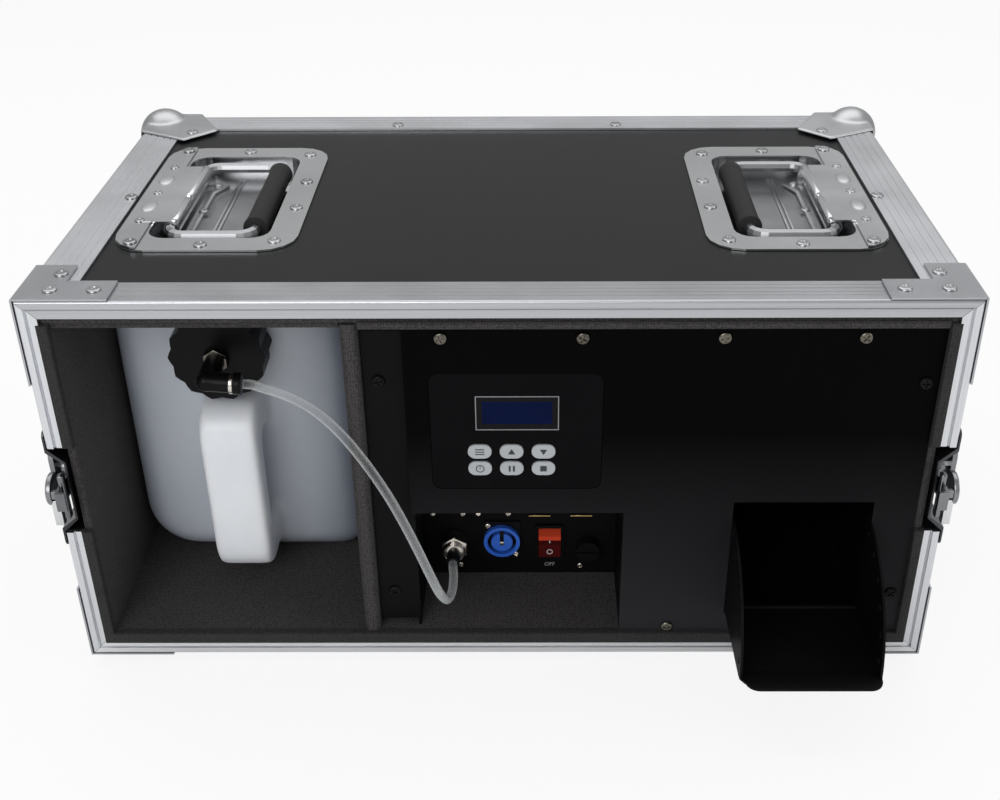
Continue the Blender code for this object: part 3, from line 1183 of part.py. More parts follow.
def build_keypad():
    """Control panel in the cover's window, its screen pocket and six sprung keys."""
    front = COVER_FRONT + OVERLAY_RECESS
    gap = CLEARANCE
    plate = rounded_rectangle(WINDOW_LEFT + gap, WINDOW_RIGHT - gap, WINDOW_BOTTOM + gap, WINDOW_TOP - gap,
                              WINDOW_CORNER - gap)
    first = WINDOW_LEFT + KEY_INSET
    places = [(first + KEY_PITCH * column, WINDOW_BOTTOM + rise)
              for rise in KEY_ROW_RISES for column in range(KEY_COLUMNS)]
    overlay = prism("control_panel", [plate], "Y", front, front + OVERLAY_THICK, BLACK_PLASTIC)
    for x, z in places:
        cut(overlay, prism("key_hole", [key_outline(x, z, CLEARANCE)], "Y", front - OVERCUT,
                           front + OVERLAY_THICK + OVERCUT, BLACK_PLASTIC))
    cut(overlay, box("screen_pocket", (SCREEN_LEFT, front - OVERCUT, SCREEN_BOTTOM),
                     (SCREEN_RIGHT, front + SCREEN_RECESS, SCREEN_TOP), BLACK_PLASTIC))
    for index, (x, z) in enumerate(places, 1):
        face = front - KEY_PROUD
        key = prism(f"key_{index}", [key_outline(x, z, 0.0)], "Y", face, face + KEY_DEPTH, KEY_GREY)
        round_edges(key, KEY_EDGE_ROUND, 1, LOBE_BEVEL_ANGLE)
        smooth(key)


def build_hopper():
    """Tilt-out outlet hopper: floor, folded lip, two quarter-round cheeks and its hinge pin."""
    width = OUTLET_RIGHT - OUTLET_LEFT - 2 * CLEARANCE
    pivot = bpy.data.objects.new("hopper_pivot", None)
    PARTS.objects.link(pivot)
    pivot.parent = ROOT
    pivot.location = ((OUTLET_LEFT + OUTLET_RIGHT) / 2, HOPPER_HINGE_Y, HOPPER_HINGE_Z)
    pivot.rotation_euler = (HOPPER_TILT, 0.0, 0.0)
    half = width / 2
    floor = [(-half, 0.0), (half, 0.0)]
    floor += arc(half - HOPPER_CORNER, HOPPER_CORNER - HOPPER_LENGTH, HOPPER_CORNER, 0, -90)
    floor += arc(HOPPER_CORNER - half, HOPPER_CORNER - HOPPER_LENGTH, HOPPER_CORNER, -90, -180)
    hopper = prism("outlet_hopper", [floor], "Z", 0.0, SHEET_METAL, BLACK_STEEL, parent=pivot)
    cheek_radius = HOPPER_LENGTH - HOPPER_LIP
    for side in (-1, 1):
        sector = [(0.0, SHEET_METAL / 2)]
        sector += arc(0.0, SHEET_METAL / 2, cheek_radius, 180, 90, 3 * ARC_STEPS)
        holes = []
        for index in range(CHEEK_HOLES):
            angle = math.radians(180 - 90 * (index + 0.5) / CHEEK_HOLES)
            radius = cheek_radius - CHEEK_HOLE_INSET
            holes.append(circle(radius * math.cos(angle), SHEET_METAL / 2 + radius * math.sin(angle),
                                CHEEK_HOLE_RADIUS, RIVET_SIDES))
        xs = sorted((side * half, side * (half - SHEET_METAL)))
        join(hopper, prism("hopper_cheek", [sector] + holes, "X", *xs, BLACK_STEEL, parent=pivot))
    pin = circle(0.0, HOPPER_PIN_RADIUS / 2, HOPPER_PIN_RADIUS)
    join(hopper, prism("hopper_pin", [pin], "X", -half, half, BLACK_STEEL, parent=pivot))


# Connectors

def build_connectors():
    seat = BAY_BACK - CLEARANCE
    face = seat - INLET_REACH
    floor = face + INLET_SOCKET_DEPTH
    profile = [(0.0, seat), (INLET_RADIUS, seat), (INLET_RADIUS, face), (INLET_SOCKET_RADIUS, face),
               (INLET_SOCKET_RADIUS, floor), (INLET_POST_RADIUS, floor), (INLET_POST_RADIUS, face),
               (0.0, face)]
    turned("power_inlet", profile, (INLET_X, 0.0, INLET_Z), (0, 1, 0), INLET_BLUE)
    build_rocker()
    face = seat - FUSE_REACH
    fuse = prism("fuse_cap", [circle(FUSE_X, FUSE_Z, FUSE_RADIUS, ROUND_SIDES)], "Y", face, seat,
                 BLACK_PLASTIC)
    half_x = FUSE_RADIUS + OVERCUT
    half_z = FUSE_SLOT_WIDTH / 2
    cut(fuse, box("fuse_slot", (FUSE_X - half_x, face - OVERCUT, FUSE_Z - half_z),
                  (FUSE_X + half_x, face + FUSE_SLOT_DEPTH, FUSE_Z + half_z), BLACK_PLASTIC))
    smooth(fuse)


def build_rocker():
    """Dished rocker, its origin on the pivot in the recess wall, resting with its lower end pressed."""
    pivot = bpy.data.objects.new("rocker_pivot", None)
    PARTS.objects.link(pivot)
    pivot.parent = ROOT
    pivot.location = (ROCKER_X, BAY_BACK, ROCKER_Z)
    pivot.rotation_euler = (ROCKER_REST, 0.0, 0.0)
    outline = [(ROCKER_BACK, -ROCKER_HALF_HEIGHT), (ROCKER_BACK, ROCKER_HALF_HEIGHT),
               (-ROCKER_REACH, ROCKER_HALF_HEIGHT), (ROCKER_DISH - ROCKER_REACH, 0.0),
               (-ROCKER_REACH, -ROCKER_HALF_HEIGHT)]
    prism("power_rocker", [outline], "X", -ROCKER_WIDTH / 2, ROCKER_WIDTH / 2, SWITCH_RED, parent=pivot)


# Working parts inside

def build_inside():
    left = HEATER_X - HEATER_WIDTH / 2
    right = HEATER_X + HEATER_WIDTH / 2
    top = CHASSIS_FLOOR + HEATER_HEIGHT
    back = HEATER_Y + HEATER_LENGTH
    heater = box("heater_block", (left, HEATER_Y, CHASSIS_FLOOR), (right, back, top), BARE_METAL)
    half = HEATER_FIN_WIDTH / 2
    pitch = HEATER_WIDTH / HEATER_FINS
    for index in range(HEATER_FINS):
        x = left + pitch * (index + 0.5)
        cut(heater, box("heater_groove", (x - half, HEATER_Y - OVERCUT, top - HEATER_FIN_DEPTH),
                        (x + half, back + OVERCUT, top + OVERCUT), BARE_METAL))
    height = CHASSIS_FLOOR + HEATER_HEIGHT / 2
    pipe_y = HEATER_Y + HEATER_LENGTH / 2
    pipe = [(0.0, PIPE_REACH), (PIPE_RADIUS, PIPE_REACH), (PIPE_RADIUS, -PIPE_RADIUS), (0.0, -PIPE_RADIUS)]
    join(heater, turned("heater_pipe", pipe, (right, pipe_y, height), (1, 0, 0), BARE_METAL, SMALL_SIDES))
    axis_z = CHASSIS_FLOOR + PUMP_BASE / 2 + PUMP_RADIUS
    body = [(0.0, PUMP_LENGTH), (PUMP_RADIUS, PUMP_LENGTH), (PUMP_RADIUS, 0.0), (0.0, 0.0)]
    pump = turned("fluid_pump", body, (PUMP_X, PUMP_Y, axis_z), (0, 1, 0), BLACK_PLASTIC)
    join(pump, box("pump_base", (PUMP_X - PUMP_RADIUS, PUMP_Y, CHASSIS_FLOOR),
                   (PUMP_X + PUMP_RADIUS, PUMP_Y + PUMP_LENGTH, CHASSIS_FLOOR + PUMP_BASE), BLACK_PLASTIC))


def stand_on_origin():
    """Move the whole case so that its footprint is centred and its feet stand on Z = 0."""
    bpy.context.view_layer.update()
    depsgraph = bpy.context.evaluated_depsgraph_get()
    corners = []
    for part in PARTS.objects:
        if part.type == "MESH" and part.name != "fluid_tube":
            shape = part.evaluated_get(depsgraph)
            corners += [shape.matrix_world @ vertex.co for vertex in shape.data.vertices]
    low = [min(corner[axis] for corner in corners) for axis in range(3)]
    high = [max(corner[axis] for corner in corners) for axis in range(3)]
    ROOT.location = (-(low[0] + high[0]) / 2, -(low[1] + high[1]) / 2, -low[2])


def build():
    build_panels()
    build_lining()
    build_edges()
    build_front_frame()
    build_ball_corners()
    build_handles()
    build_latches()
    build_can()
    build_cap()
    build_elbow()
    build_fluid_line()
    build_chassis()
    build_fan_rotor()
    build_cover()
    build_keypad()
    build_hopper()
    build_connectors()
    build_inside()
    stand_on_origin()


build()
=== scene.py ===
# %% [markdown]
# # A fog machine in its flight case
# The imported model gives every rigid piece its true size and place. This lesson dresses it: a camera and soft light,
# a finish for each material, and the small or soft things that a solid model leaves plain. Nothing that the model
# fixes is moved. We work in metres, in the model's own frame.

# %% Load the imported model
import json
import math

import bmesh
import bpy
from mathutils import Matrix, Vector


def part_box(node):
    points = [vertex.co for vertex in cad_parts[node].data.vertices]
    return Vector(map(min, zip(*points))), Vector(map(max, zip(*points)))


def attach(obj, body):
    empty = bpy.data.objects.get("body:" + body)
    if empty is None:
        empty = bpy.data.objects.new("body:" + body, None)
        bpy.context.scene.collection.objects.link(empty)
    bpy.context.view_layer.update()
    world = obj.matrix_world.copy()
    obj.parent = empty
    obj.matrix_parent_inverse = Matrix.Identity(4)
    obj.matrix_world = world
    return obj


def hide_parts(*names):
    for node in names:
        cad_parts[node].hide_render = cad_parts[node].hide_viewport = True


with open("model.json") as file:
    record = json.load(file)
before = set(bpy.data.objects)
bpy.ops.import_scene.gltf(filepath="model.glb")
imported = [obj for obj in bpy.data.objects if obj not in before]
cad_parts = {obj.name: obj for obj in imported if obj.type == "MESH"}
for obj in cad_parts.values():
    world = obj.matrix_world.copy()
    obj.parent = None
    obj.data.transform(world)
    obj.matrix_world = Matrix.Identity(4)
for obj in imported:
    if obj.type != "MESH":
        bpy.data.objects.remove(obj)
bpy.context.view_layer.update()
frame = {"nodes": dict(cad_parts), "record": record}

nodes = frame["nodes"]
bpy.ops.object.select_all(action="DESELECT")

# %% [markdown]
# ## Camera
# The photograph was taken from above the open front with a normal lens. The case's straight edges tell where the
# camera stood, how far it looked down and how long its lens was. A slight lens shift stands for the crop of the
# picture. `at` lets us write places the way a maker measures them: across, back from the front, up from the underside.

# %% Camera
CASE_FRONT = -0.12804
CASE_UNDERSIDE = 0.009


def at(across, back, up):
    return Vector((across, back + CASE_FRONT, up + CASE_UNDERSIDE))


camera_data = bpy.data.cameras.new("photo_camera")
camera_data.lens = 46.42
camera_data.shift_x = -0.0287
camera_data.shift_y = -0.0017
camera = bpy.data.objects.new("photo_camera", camera_data)
bpy.context.scene.collection.objects.link(camera)
look_down = Matrix.Rotation(math.pi / 2 - 0.5397, 4, "X")
turn = Matrix.Rotation(0.0052, 4, "Z") @ look_down @ Matrix.Rotation(-0.0045, 4, "Z")
camera.matrix_world = Matrix.Translation(at(0.02024, -0.6518, 0.5887)) @ turn
bpy.context.scene.camera = camera
print("camera stands at", [round(value, 3) for value in camera.location])

# %% [markdown]
# ## Building materials from nodes
# A few short helpers keep the node code readable. `node` adds one node and fills its inputs with values or links.
# `new_finish` starts a material whose patterns sit on Object coordinates, so they stay put when a piece moves. `tint`,
# `roughen` and `emboss` let a mask drive the colour, the gloss and the bump. `new_group` starts a node group, and
# `effect` uses one in a material.

# %% Nodes and materials


def node(tree, kind, values=None, **settings):
    item = tree.nodes.new(kind)
    for name, value in settings.items():
        setattr(item, name, value)
    for name, value in (values or {}).items():
        if isinstance(value, bpy.types.NodeSocket):
            tree.links.new(value, item.inputs[name])
        else:
            item.inputs[name].default_value = value
    return item


def new_finish(name, colour, roughness, metallic=0.0):
    material = bpy.data.materials.new(name)
    material.use_nodes = True
    tree = material.node_tree
    shader = tree.nodes["Principled BSDF"]
    shader.inputs["Base Color"].default_value = (*colour, 1.0)
    shader.inputs["Roughness"].default_value = roughness
    shader.inputs["Metallic"].default_value = metallic
    place = node(tree, "ShaderNodeTexCoord").outputs["Object"]
    return material, tree, shader, place


print("nodes and materials can be made")

# %% Colour, gloss and bump


def tint(tree, shader, mask, dark, light, low=0.3, high=0.7):
    ramp = node(tree, "ShaderNodeValToRGB", {"Fac": mask})
    ramp.color_ramp.elements[0].position = low
    ramp.color_ramp.elements[1].position = high
    ramp.color_ramp.elements[0].color = (*dark, 1.0)
    ramp.color_ramp.elements[1].color = (*light, 1.0)
    tree.links.new(ramp.outputs["Color"], shader.inputs["Base Color"])


def spread(tree, mask, low, high):
    return node(tree, "ShaderNodeMapRange", {"Value": mask, "From Min": 0.25, "From Max": 0.75,
                                             "To Min": low, "To Max": high}).outputs["Result"]


def roughen(tree, shader, mask, low, high):
    tree.links.new(spread(tree, mask, low, high), shader.inputs["Roughness"])


def emboss(tree, shader, height, strength, distance):
    bump = node(tree, "ShaderNodeBump", {"Height": height, "Strength": strength, "Distance": distance})
    tree.links.new(bump.outputs["Normal"], shader.inputs["Normal"])


print("masks can drive colour, gloss and bump")

# %% Node groups


def new_group(name, inputs, outputs):
    group = bpy.data.node_groups.new(name, "ShaderNodeTree")
    for label, kind, default in inputs:
        socket = group.interface.new_socket(name=label, in_out="INPUT", socket_type=kind)
        socket.default_value = default
    for label in outputs:
        group.interface.new_socket(name=label, in_out="OUTPUT", socket_type="NodeSocketFloat")
    return group, node(group, "NodeGroupInput").outputs, node(group, "NodeGroupOutput").inputs


def effect(tree, group, place, **values):
    item = tree.nodes.new("ShaderNodeGroup")
    item.node_tree = group
    tree.links.new(place, item.inputs["Vector"])
    for name, value in values.items():
        item.inputs[name].default_value = value
    return item.outputs


print("effects can be shared as groups")

# %% [markdown]
# ## Shared surface effects
# Three effects turn up again and again. `surface_grain` is the fine tooth of powder coat and moulded plastic, with
# large faint patches for handling marks. `drawn_lines` is the lengthwise scratch of rolled or extruded metal.
# `pebbled_weave` is the small raised bumps of a lining cloth, which look the same on walls facing any way. Each is a
# node group, made once.

# %% Grain group
grain_group, source, result = new_group(
    "surface_grain", [("Vector", "NodeSocketVector", (0, 0, 0)), ("Scale", "NodeSocketFloat", 1500.0)],
    ["Grain", "Patches"])
fine = node(grain_group, "ShaderNodeTexNoise", {"Vector": source["Vector"], "Scale": source["Scale"], "Detail": 2.0})
coarse = node(grain_group, "ShaderNodeTexNoise", {"Vector": source["Vector"], "Scale": 14.0, "Detail": 4.0,
                                                   "Roughness": 0.6})
grain_group.links.new(fine.outputs["Fac"], result["Grain"])
grain_group.links.new(coarse.outputs["Fac"], result["Patches"])
print(grain_group.name, "has", len(grain_group.nodes), "nodes")

# %% Drawn lines group
lines_group, source, result = new_group(
    "drawn_lines", [("Vector", "NodeSocketVector", (0, 0, 0)), ("Stretch", "NodeSocketVector", (1, 1, 1))],
    ["Lines", "Patches"])
stretched = node(lines_group, "ShaderNodeVectorMath", {0: source["Vector"], 1: source["Stretch"]},
                 operation="MULTIPLY")
lines = node(lines_group, "ShaderNodeTexNoise", {"Vector": stretched.outputs["Vector"], "Scale": 1.0, "Detail": 5.0,
                                                 "Roughness": 0.65})
soft = node(lines_group, "ShaderNodeTexNoise", {"Vector": source["Vector"], "Scale": 22.0, "Detail": 3.0})
lines_group.links.new(lines.outputs["Fac"], result["Lines"])
lines_group.links.new(soft.outputs["Fac"], result["Patches"])
print(lines_group.name, "has", len(lines_group.nodes), "nodes")

# %% Weave group
weave_group, source, result = new_group(
    "pebbled_weave", [("Vector", "NodeSocketVector", (0, 0, 0)), ("Threads", "NodeSocketFloat", 650.0)],
    ["Threads", "Patches"])
pebbles = node(weave_group, "ShaderNodeTexVoronoi",
               {"Vector": source["Vector"], "Scale": source["Threads"], "Randomness": 0.45})
raised = node(weave_group, "ShaderNodeMapRange", {"Value": pebbles.outputs["Distance"], "From Min": 0.15,
                                                  "From Max": 0.75, "To Min": 1.0, "To Max": 0.0})
worn = node(weave_group, "ShaderNodeTexNoise", {"Vector": source["Vector"], "Scale": 26.0, "Detail": 5.0})
weave_group.links.new(raised.outputs["Result"], result["Threads"])
weave_group.links.new(worn.outputs["Fac"], result["Patches"])
print(weave_group.name, "has", len(weave_group.nodes), "nodes")

# %% [markdown]
# ## Floor, world and lamps
# The product stands on plain white. The floor mixes a white glow with a matte white, so it stays white and still
# takes the shadow. The world shows white to the camera and through clear plastic, but gives only a gentle fill to
# everything else, so that black stays black and chrome keeps its contrast. Both ask the light path who is looking,
# which costs less than lighting a whole white room.

# %% Floor
FLOOR_GLOW = 0.86


def seen_directly(tree):
    path = node(tree, "ShaderNodeLightPath").outputs
    return node(tree, "ShaderNodeMath", {0: path["Is Camera Ray"], 1: path["Is Transmission Ray"]},
                operation="MAXIMUM").outputs["Value"]


bpy.ops.mesh.primitive_plane_add(size=9.0, location=(0.0, 0.0, -0.0002))
floor = bpy.context.object
floor.name = "studio_floor"
floor_material = bpy.data.materials.new("white_floor")
floor_material.use_nodes = True
tree = floor_material.node_tree
tree.nodes.remove(tree.nodes["Principled BSDF"])
matte = node(tree, "ShaderNodeBsdfDiffuse", {"Color": (0.9, 0.9, 0.9, 1.0)})
glow = node(tree, "ShaderNodeEmission", {"Color": (1.0, 1.0, 1.0, 1.0), "Strength": 1.0})
share = node(tree, "ShaderNodeMath", {0: seen_directly(tree), 1: FLOOR_GLOW}, operation="MULTIPLY")
blend = node(tree, "ShaderNodeMixShader", {"Fac": share.outputs["Value"], 1: matte.outputs["BSDF"],
                                           2: glow.outputs["Emission"]})
tree.links.new(blend.outputs["Shader"], tree.nodes["Material Output"].inputs["Surface"])
floor.data.materials.append(floor_material)
print("floor:", floor.name)

# %% World
WORLD_FILL = 0.42
world = bpy.data.worlds.new("white_studio")
world.use_nodes = True
bpy.context.scene.world = world
tree = world.node_tree
level = node(tree, "ShaderNodeMapRange", {"Value": seen_directly(tree), "To Min": WORLD_FILL, "To Max": 1.0})
sky = tree.nodes["Background"]
sky.inputs["Color"].default_value = (1.0, 1.0, 1.0, 1.0)
tree.links.new(level.outputs["Result"], sky.inputs["Strength"])
bpy.context.scene.view_settings.view_transform = "Standard"
print("world:", world.name)

# %% [markdown]
# Soft boxes do the modelling. A wide one overhead gives the top its even tone, one in front opens the two bays, and a
# small one at the right lifts the chrome. Area lamps are chosen because their size sets how soft a shadow's edge is.

# %% Lamps


def soft_box(name, place, target, width, height, power):
    data = bpy.data.lights.new(name, "AREA")
    data.shape = "RECTANGLE"
    data.size = width
    data.size_y = height
    data.energy = power
    lamp = bpy.data.objects.new(name, data)
    bpy.context.scene.collection.objects.link(lamp)
    aim = (Vector(target) - Vector(place)).to_track_quat("-Z", "Y")
    lamp.matrix_world = Matrix.Translation(place) @ aim.to_matrix().to_4x4()
    return lamp


lamps = [
    soft_box("overhead_box", (-0.1, 0.7, 2.0), (0.0, 0.0, 0.2), 3.0, 1.8, 25.0),
    soft_box("front_box", (-0.7, -2.0, 1.25), (0.0, 0.0, 0.12), 1.5, 1.3, 22.0),
    soft_box("right_box", (1.8, -0.7, 0.9), (0.1, 0.0, 0.12), 0.7, 1.2, 6.0),
]
print("lamps:", [lamp.name for lamp in lamps])

# %% [markdown]
# ## The fluid tube
# A clear tube brings fluid from the can to the machine. It leaves the elbow on the cap, passes over the front of the
# divider and dips into the connector recess. A cord is best made as a curve: one smooth line with a round bevel. The
# route repeats the model's own points, smoothed with the same spline, so it lies exactly where the model says. A thin
# clear wall looks whiter where we see it edge-on, so its opacity grows towards the outline.

# %% Tube route
TUBE_ROUTE = (
    (-0.15848, -0.09734, 0.19946), (-0.15350, -0.09734, 0.19902), (-0.14254, -0.10472, 0.19998),
    (-0.13058, -0.11090, 0.19933), (-0.11822, -0.11668, 0.19629), (-0.10566, -0.12326, 0.19024),
    (-0.09270, -0.13024, 0.17980), (-0.08013, -0.13628, 0.16472), (-0.06876, -0.13922, 0.14504),
    (-0.05959, -0.14026, 0.12386), (-0.05202, -0.14020, 0.10318), (-0.04565, -0.13884, 0.08310),
    (-0.04068, -0.13428, 0.06492), (-0.03681, -0.12452, 0.05174), (-0.03444, -0.11156, 0.04916),
    (-0.03417, -0.09900, 0.05208), (-0.03500, -0.09264, 0.05400), (-0.03500, -0.08764, 0.05400),
)
TUBE_DIAMETER = 0.006


def smooth_route(points, step):
    points = [Vector(point) for point in points]
    padded = [2 * points[0] - points[1]] + points + [2 * points[-1] - points[-2]]
    route = [points[0]]
    for before, start, end, after in zip(padded, padded[1:], padded[2:], padded[3:]):
        count = max(1, round((end - start).length / step))
        for index in range(1, count + 1):
            t = index / count
            route.append(0.5 * (2 * start + (end - before) * t
                                + (2 * before - 5 * start + 4 * end - after) * t * t
                                + (3 * start - before - 3 * end + after) * t * t * t))
    return route


route = smooth_route(TUBE_ROUTE, 0.004)

# %% Tube piece
tube_finish, tree, shader, place = new_finish("clear_tube_wall", (0.78, 0.81, 0.81), 0.14)
marks = effect(tree, grain_group, place, Scale=60.0)
tint(tree, shader, marks["Patches"], (0.72, 0.75, 0.76), (0.78, 0.81, 0.82))
roughen(tree, shader, marks["Patches"], 0.06, 0.12)
edge_on = node(tree, "ShaderNodeLayerWeight", {"Blend": 0.35}).outputs["Facing"]
wall = node(tree, "ShaderNodeMapRange", {"Value": edge_on, "From Min": 0.03, "From Max": 0.50,
                                         "To Min": 0.05, "To Max": 0.46})
tree.links.new(wall.outputs["Result"], shader.inputs["Alpha"])

curve = bpy.data.curves.new("fluid_line", "CURVE")
curve.dimensions = "3D"
curve.bevel_depth = TUBE_DIAMETER / 2
curve.bevel_resolution = 6
curve.use_fill_caps = True
spline = curve.splines.new("POLY")
spline.points.add(len(route) - 1)
for point, spot in zip(spline.points, route):
    point.co = (*spot, 1.0)
spline.use_smooth = True
fluid_line = bpy.data.objects.new("fluid_line", curve)
bpy.context.scene.collection.objects.link(fluid_line)
curve.materials.append(tube_finish)
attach(fluid_line, "case")
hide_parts("fluid_tube")
print("tube made of", len(route), "points")

# %% [markdown]
# ## Finishes for the rigid pieces
# Each slot in the model's record gets a finish, and a few pieces get one of their own. Real surfaces are never one
# flat colour, so every finish carries faint patches of wear in its colour and its gloss, and a fine tooth in its bump.

# %% Painted and moulded finishes


def coated(name, dark, light, gloss, grain_scale, tooth, shine=0.5):
    material, tree, shader, place = new_finish(name, light, gloss[1])
    shader.inputs["Specular IOR Level"].default_value = shine
    marks = effect(tree, grain_group, place, Scale=grain_scale)
    tint(tree, shader, marks["Patches"], dark, light)
    roughen(tree, shader, marks["Patches"], *gloss)
    emboss(tree, shader, marks["Grain"], tooth, 0.0003)
    return material


finishes = {
    "laminate": coated("black_laminate", (0.0050, 0.0053, 0.0062), (0.0075, 0.0078, 0.0088), (0.30, 0.40), 900.0, 0.10,
                       0.22),
    "black_steel": coated("powder_coat", (0.0028, 0.0028, 0.0034), (0.0044, 0.0044, 0.0052), (0.40, 0.52), 2600.0, 0.14,
                          0.07),
    "black_plastic": coated("black_moulding", (0.0034, 0.0034, 0.0042), (0.0056, 0.0056, 0.0066), (0.26, 0.38), 1800.0,
                            0.08, 0.10),
    "rubber": coated("soft_rubber", (0.010, 0.010, 0.010), (0.018, 0.018, 0.018), (0.55, 0.72), 1400.0, 0.25, 0.30),
    "grey_keys": coated("grey_key_rubber", (0.36, 0.38, 0.40), (0.43, 0.45, 0.47), (0.42, 0.55), 2200.0, 0.08),
    "red_rocker": coated("red_switch", (0.048, 0.003, 0.003), (0.070, 0.005, 0.005), (0.24, 0.34), 900.0, 0.04, 0.2),
    "blue_inlet": coated("blue_connector", (0.020, 0.100, 0.50), (0.034, 0.140, 0.62), (0.26, 0.36), 1500.0, 0.05),
}
print("coated finishes:", ", ".join(finishes))

# %% [markdown]
# Bare metal needs two looks. Pressed or plated steel has no direction, so it takes the plain grain. Rolled and extruded
# metal is scratched along its length, so its pattern is squeezed across the piece and stretched along it.

# %% Bare metal finishes


def bare_metal(name, dark, light, gloss, scale):
    material, tree, shader, place = new_finish(name, light, gloss[1], 1.0)
    marks = effect(tree, grain_group, place, Scale=scale)
    tint(tree, shader, marks["Patches"], dark, light)
    roughen(tree, shader, marks["Patches"], *gloss)
    emboss(tree, shader, marks["Grain"], 0.06, 0.0003)
    return material


def drawn_metal(name, stretch, dark, light, gloss):
    material, tree, shader, place = new_finish(name, light, gloss[1], 1.0)
    marks = effect(tree, lines_group, place, Stretch=stretch)
    tint(tree, shader, marks["Lines"], dark, light)
    roughen(tree, shader, marks["Patches"], *gloss)
    emboss(tree, shader, marks["Lines"], 0.22, 0.0002)
    return material


finishes["zinc_steel"] = bare_metal("zinc_plate", (0.66, 0.67, 0.68), (0.80, 0.81, 0.82), (0.16, 0.28), 420.0)
finishes["nickel"] = bare_metal("bright_nickel", (0.64, 0.60, 0.54), (0.78, 0.74, 0.68), (0.14, 0.24), 700.0)
finishes["dark_nickel"] = bare_metal("dark_nickel", (0.09, 0.082, 0.068), (0.21, 0.195, 0.165), (0.14, 0.24), 700.0)
finishes["rivet_zinc"] = bare_metal("rivet_zinc", (0.36, 0.365, 0.37), (0.52, 0.53, 0.54), (0.24, 0.36), 700.0)
finishes["pressed_zinc"] = bare_metal("pressed_zinc", (0.45, 0.46, 0.47), (0.56, 0.57, 0.58), (0.38, 0.48), 420.0)
finishes["bright_rod"] = bare_metal("bright_rod", (0.24, 0.245, 0.255), (0.34, 0.345, 0.355), (0.30, 0.38), 500.0)
finishes["dark_chrome"] = bare_metal("dark_chrome", (0.15, 0.155, 0.165), (0.30, 0.305, 0.315), (0.16, 0.26), 500.0)
# A dark copy of zinc for the latch dishes: painted shade in their pockets.
finishes["shaded_zinc"] = bare_metal("shaded_zinc", (0.045, 0.046, 0.05), (0.10, 0.102, 0.11), (0.30, 0.42), 420.0)
finishes["cast_aluminium"] = bare_metal("cast_heater", (0.40, 0.40, 0.40), (0.55, 0.55, 0.55), (0.45, 0.6), 500.0)
edge_dark, edge_light = (0.65, 0.665, 0.69), (0.79, 0.805, 0.83)
drawn = {
    "x": drawn_metal("extruded_edge_x", (3.0, 1900.0, 1900.0), edge_dark, edge_light, (0.30, 0.40)),
    "y": drawn_metal("extruded_edge_y", (1900.0, 3.0, 1900.0), edge_dark, edge_light, (0.30, 0.40)),
    "z": drawn_metal("extruded_edge_z", (1900.0, 1900.0, 3.0), edge_dark, edge_light, (0.30, 0.40)),
}
print("finishes so far:", len(finishes), "by slot or name and", len(drawn), "drawn")

# %% [markdown]
# Some solids carry two looks. The front rails have zinc braces folded over their aluminium corners, the handle cups
# have painted shade on their floor below a bright rim, and the cover has painted shade near its top and painted light
# towards its foot. The pieces are not cut apart for this: a step or a slope on one Object coordinate parts the looks.

# %% Steps and slopes


def beyond(tree, value, edge):
    return node(tree, "ShaderNodeMath", {0: value, 1: edge}, operation="GREATER_THAN").outputs["Value"]


# A Mix node has one pair of inputs for each kind of data. These are the numbers of its colour sockets.
COLOUR_A, COLOUR_B, COLOUR_RESULT = 6, 7, 2


def recolour(material, mask, colour):
    tree = material.node_tree
    target = tree.nodes["Principled BSDF"].inputs["Base Color"]
    plain = target.links[0].from_socket
    mix = node(tree, "ShaderNodeMix", {"Factor": mask}, data_type="RGBA")
    tree.links.new(plain, mix.inputs[COLOUR_A])
    mix.inputs[COLOUR_B].default_value = (*colour, 1.0)
    tree.links.new(mix.outputs[COLOUR_RESULT], target)


def object_axes(material):
    tree = material.node_tree
    place = next(item for item in tree.nodes if item.type == "TEX_COORD").outputs["Object"]
    return tree, node(tree, "ShaderNodeSeparateXYZ", {"Vector": place}).outputs


print("steps and slopes ready")

# %% Braced rails
CASE_TOP = 0.2622
CASE_SIDE = 0.27512


def braced_rail(name, dark, light):
    material = drawn_metal(name, (3.0, 1900.0, 1900.0), dark, light, (0.28, 0.38))
    tree, axes = object_axes(material)
    height = node(tree, "ShaderNodeMath", {0: axes["Z"], 1: CASE_UNDERSIDE + CASE_TOP / 2}, operation="SUBTRACT")
    level = node(tree, "ShaderNodeMath", {0: height.outputs["Value"]}, operation="ABSOLUTE")
    across = node(tree, "ShaderNodeMath", {0: axes["X"]}, operation="ABSOLUTE")
    above = beyond(tree, level.outputs["Value"], CASE_TOP / 2)
    aside = beyond(tree, across.outputs["Value"], CASE_SIDE)
    either = node(tree, "ShaderNodeMath", {0: above, 1: aside}, operation="MAXIMUM")
    recolour(material, either.outputs["Value"], (0.47, 0.48, 0.50))
    return material


# The top rail is painted darker and the bottom rail lighter than the other aluminium edges: painted shade and painted
# light on one metal.
drawn["frame_top"] = braced_rail("braced_top_rail", (0.45, 0.46, 0.48), (0.55, 0.56, 0.58))
drawn["frame_bottom"] = braced_rail("braced_bottom_rail", (0.80, 0.81, 0.83), (0.90, 0.91, 0.93))
print("drawn finishes:", ", ".join(drawn))

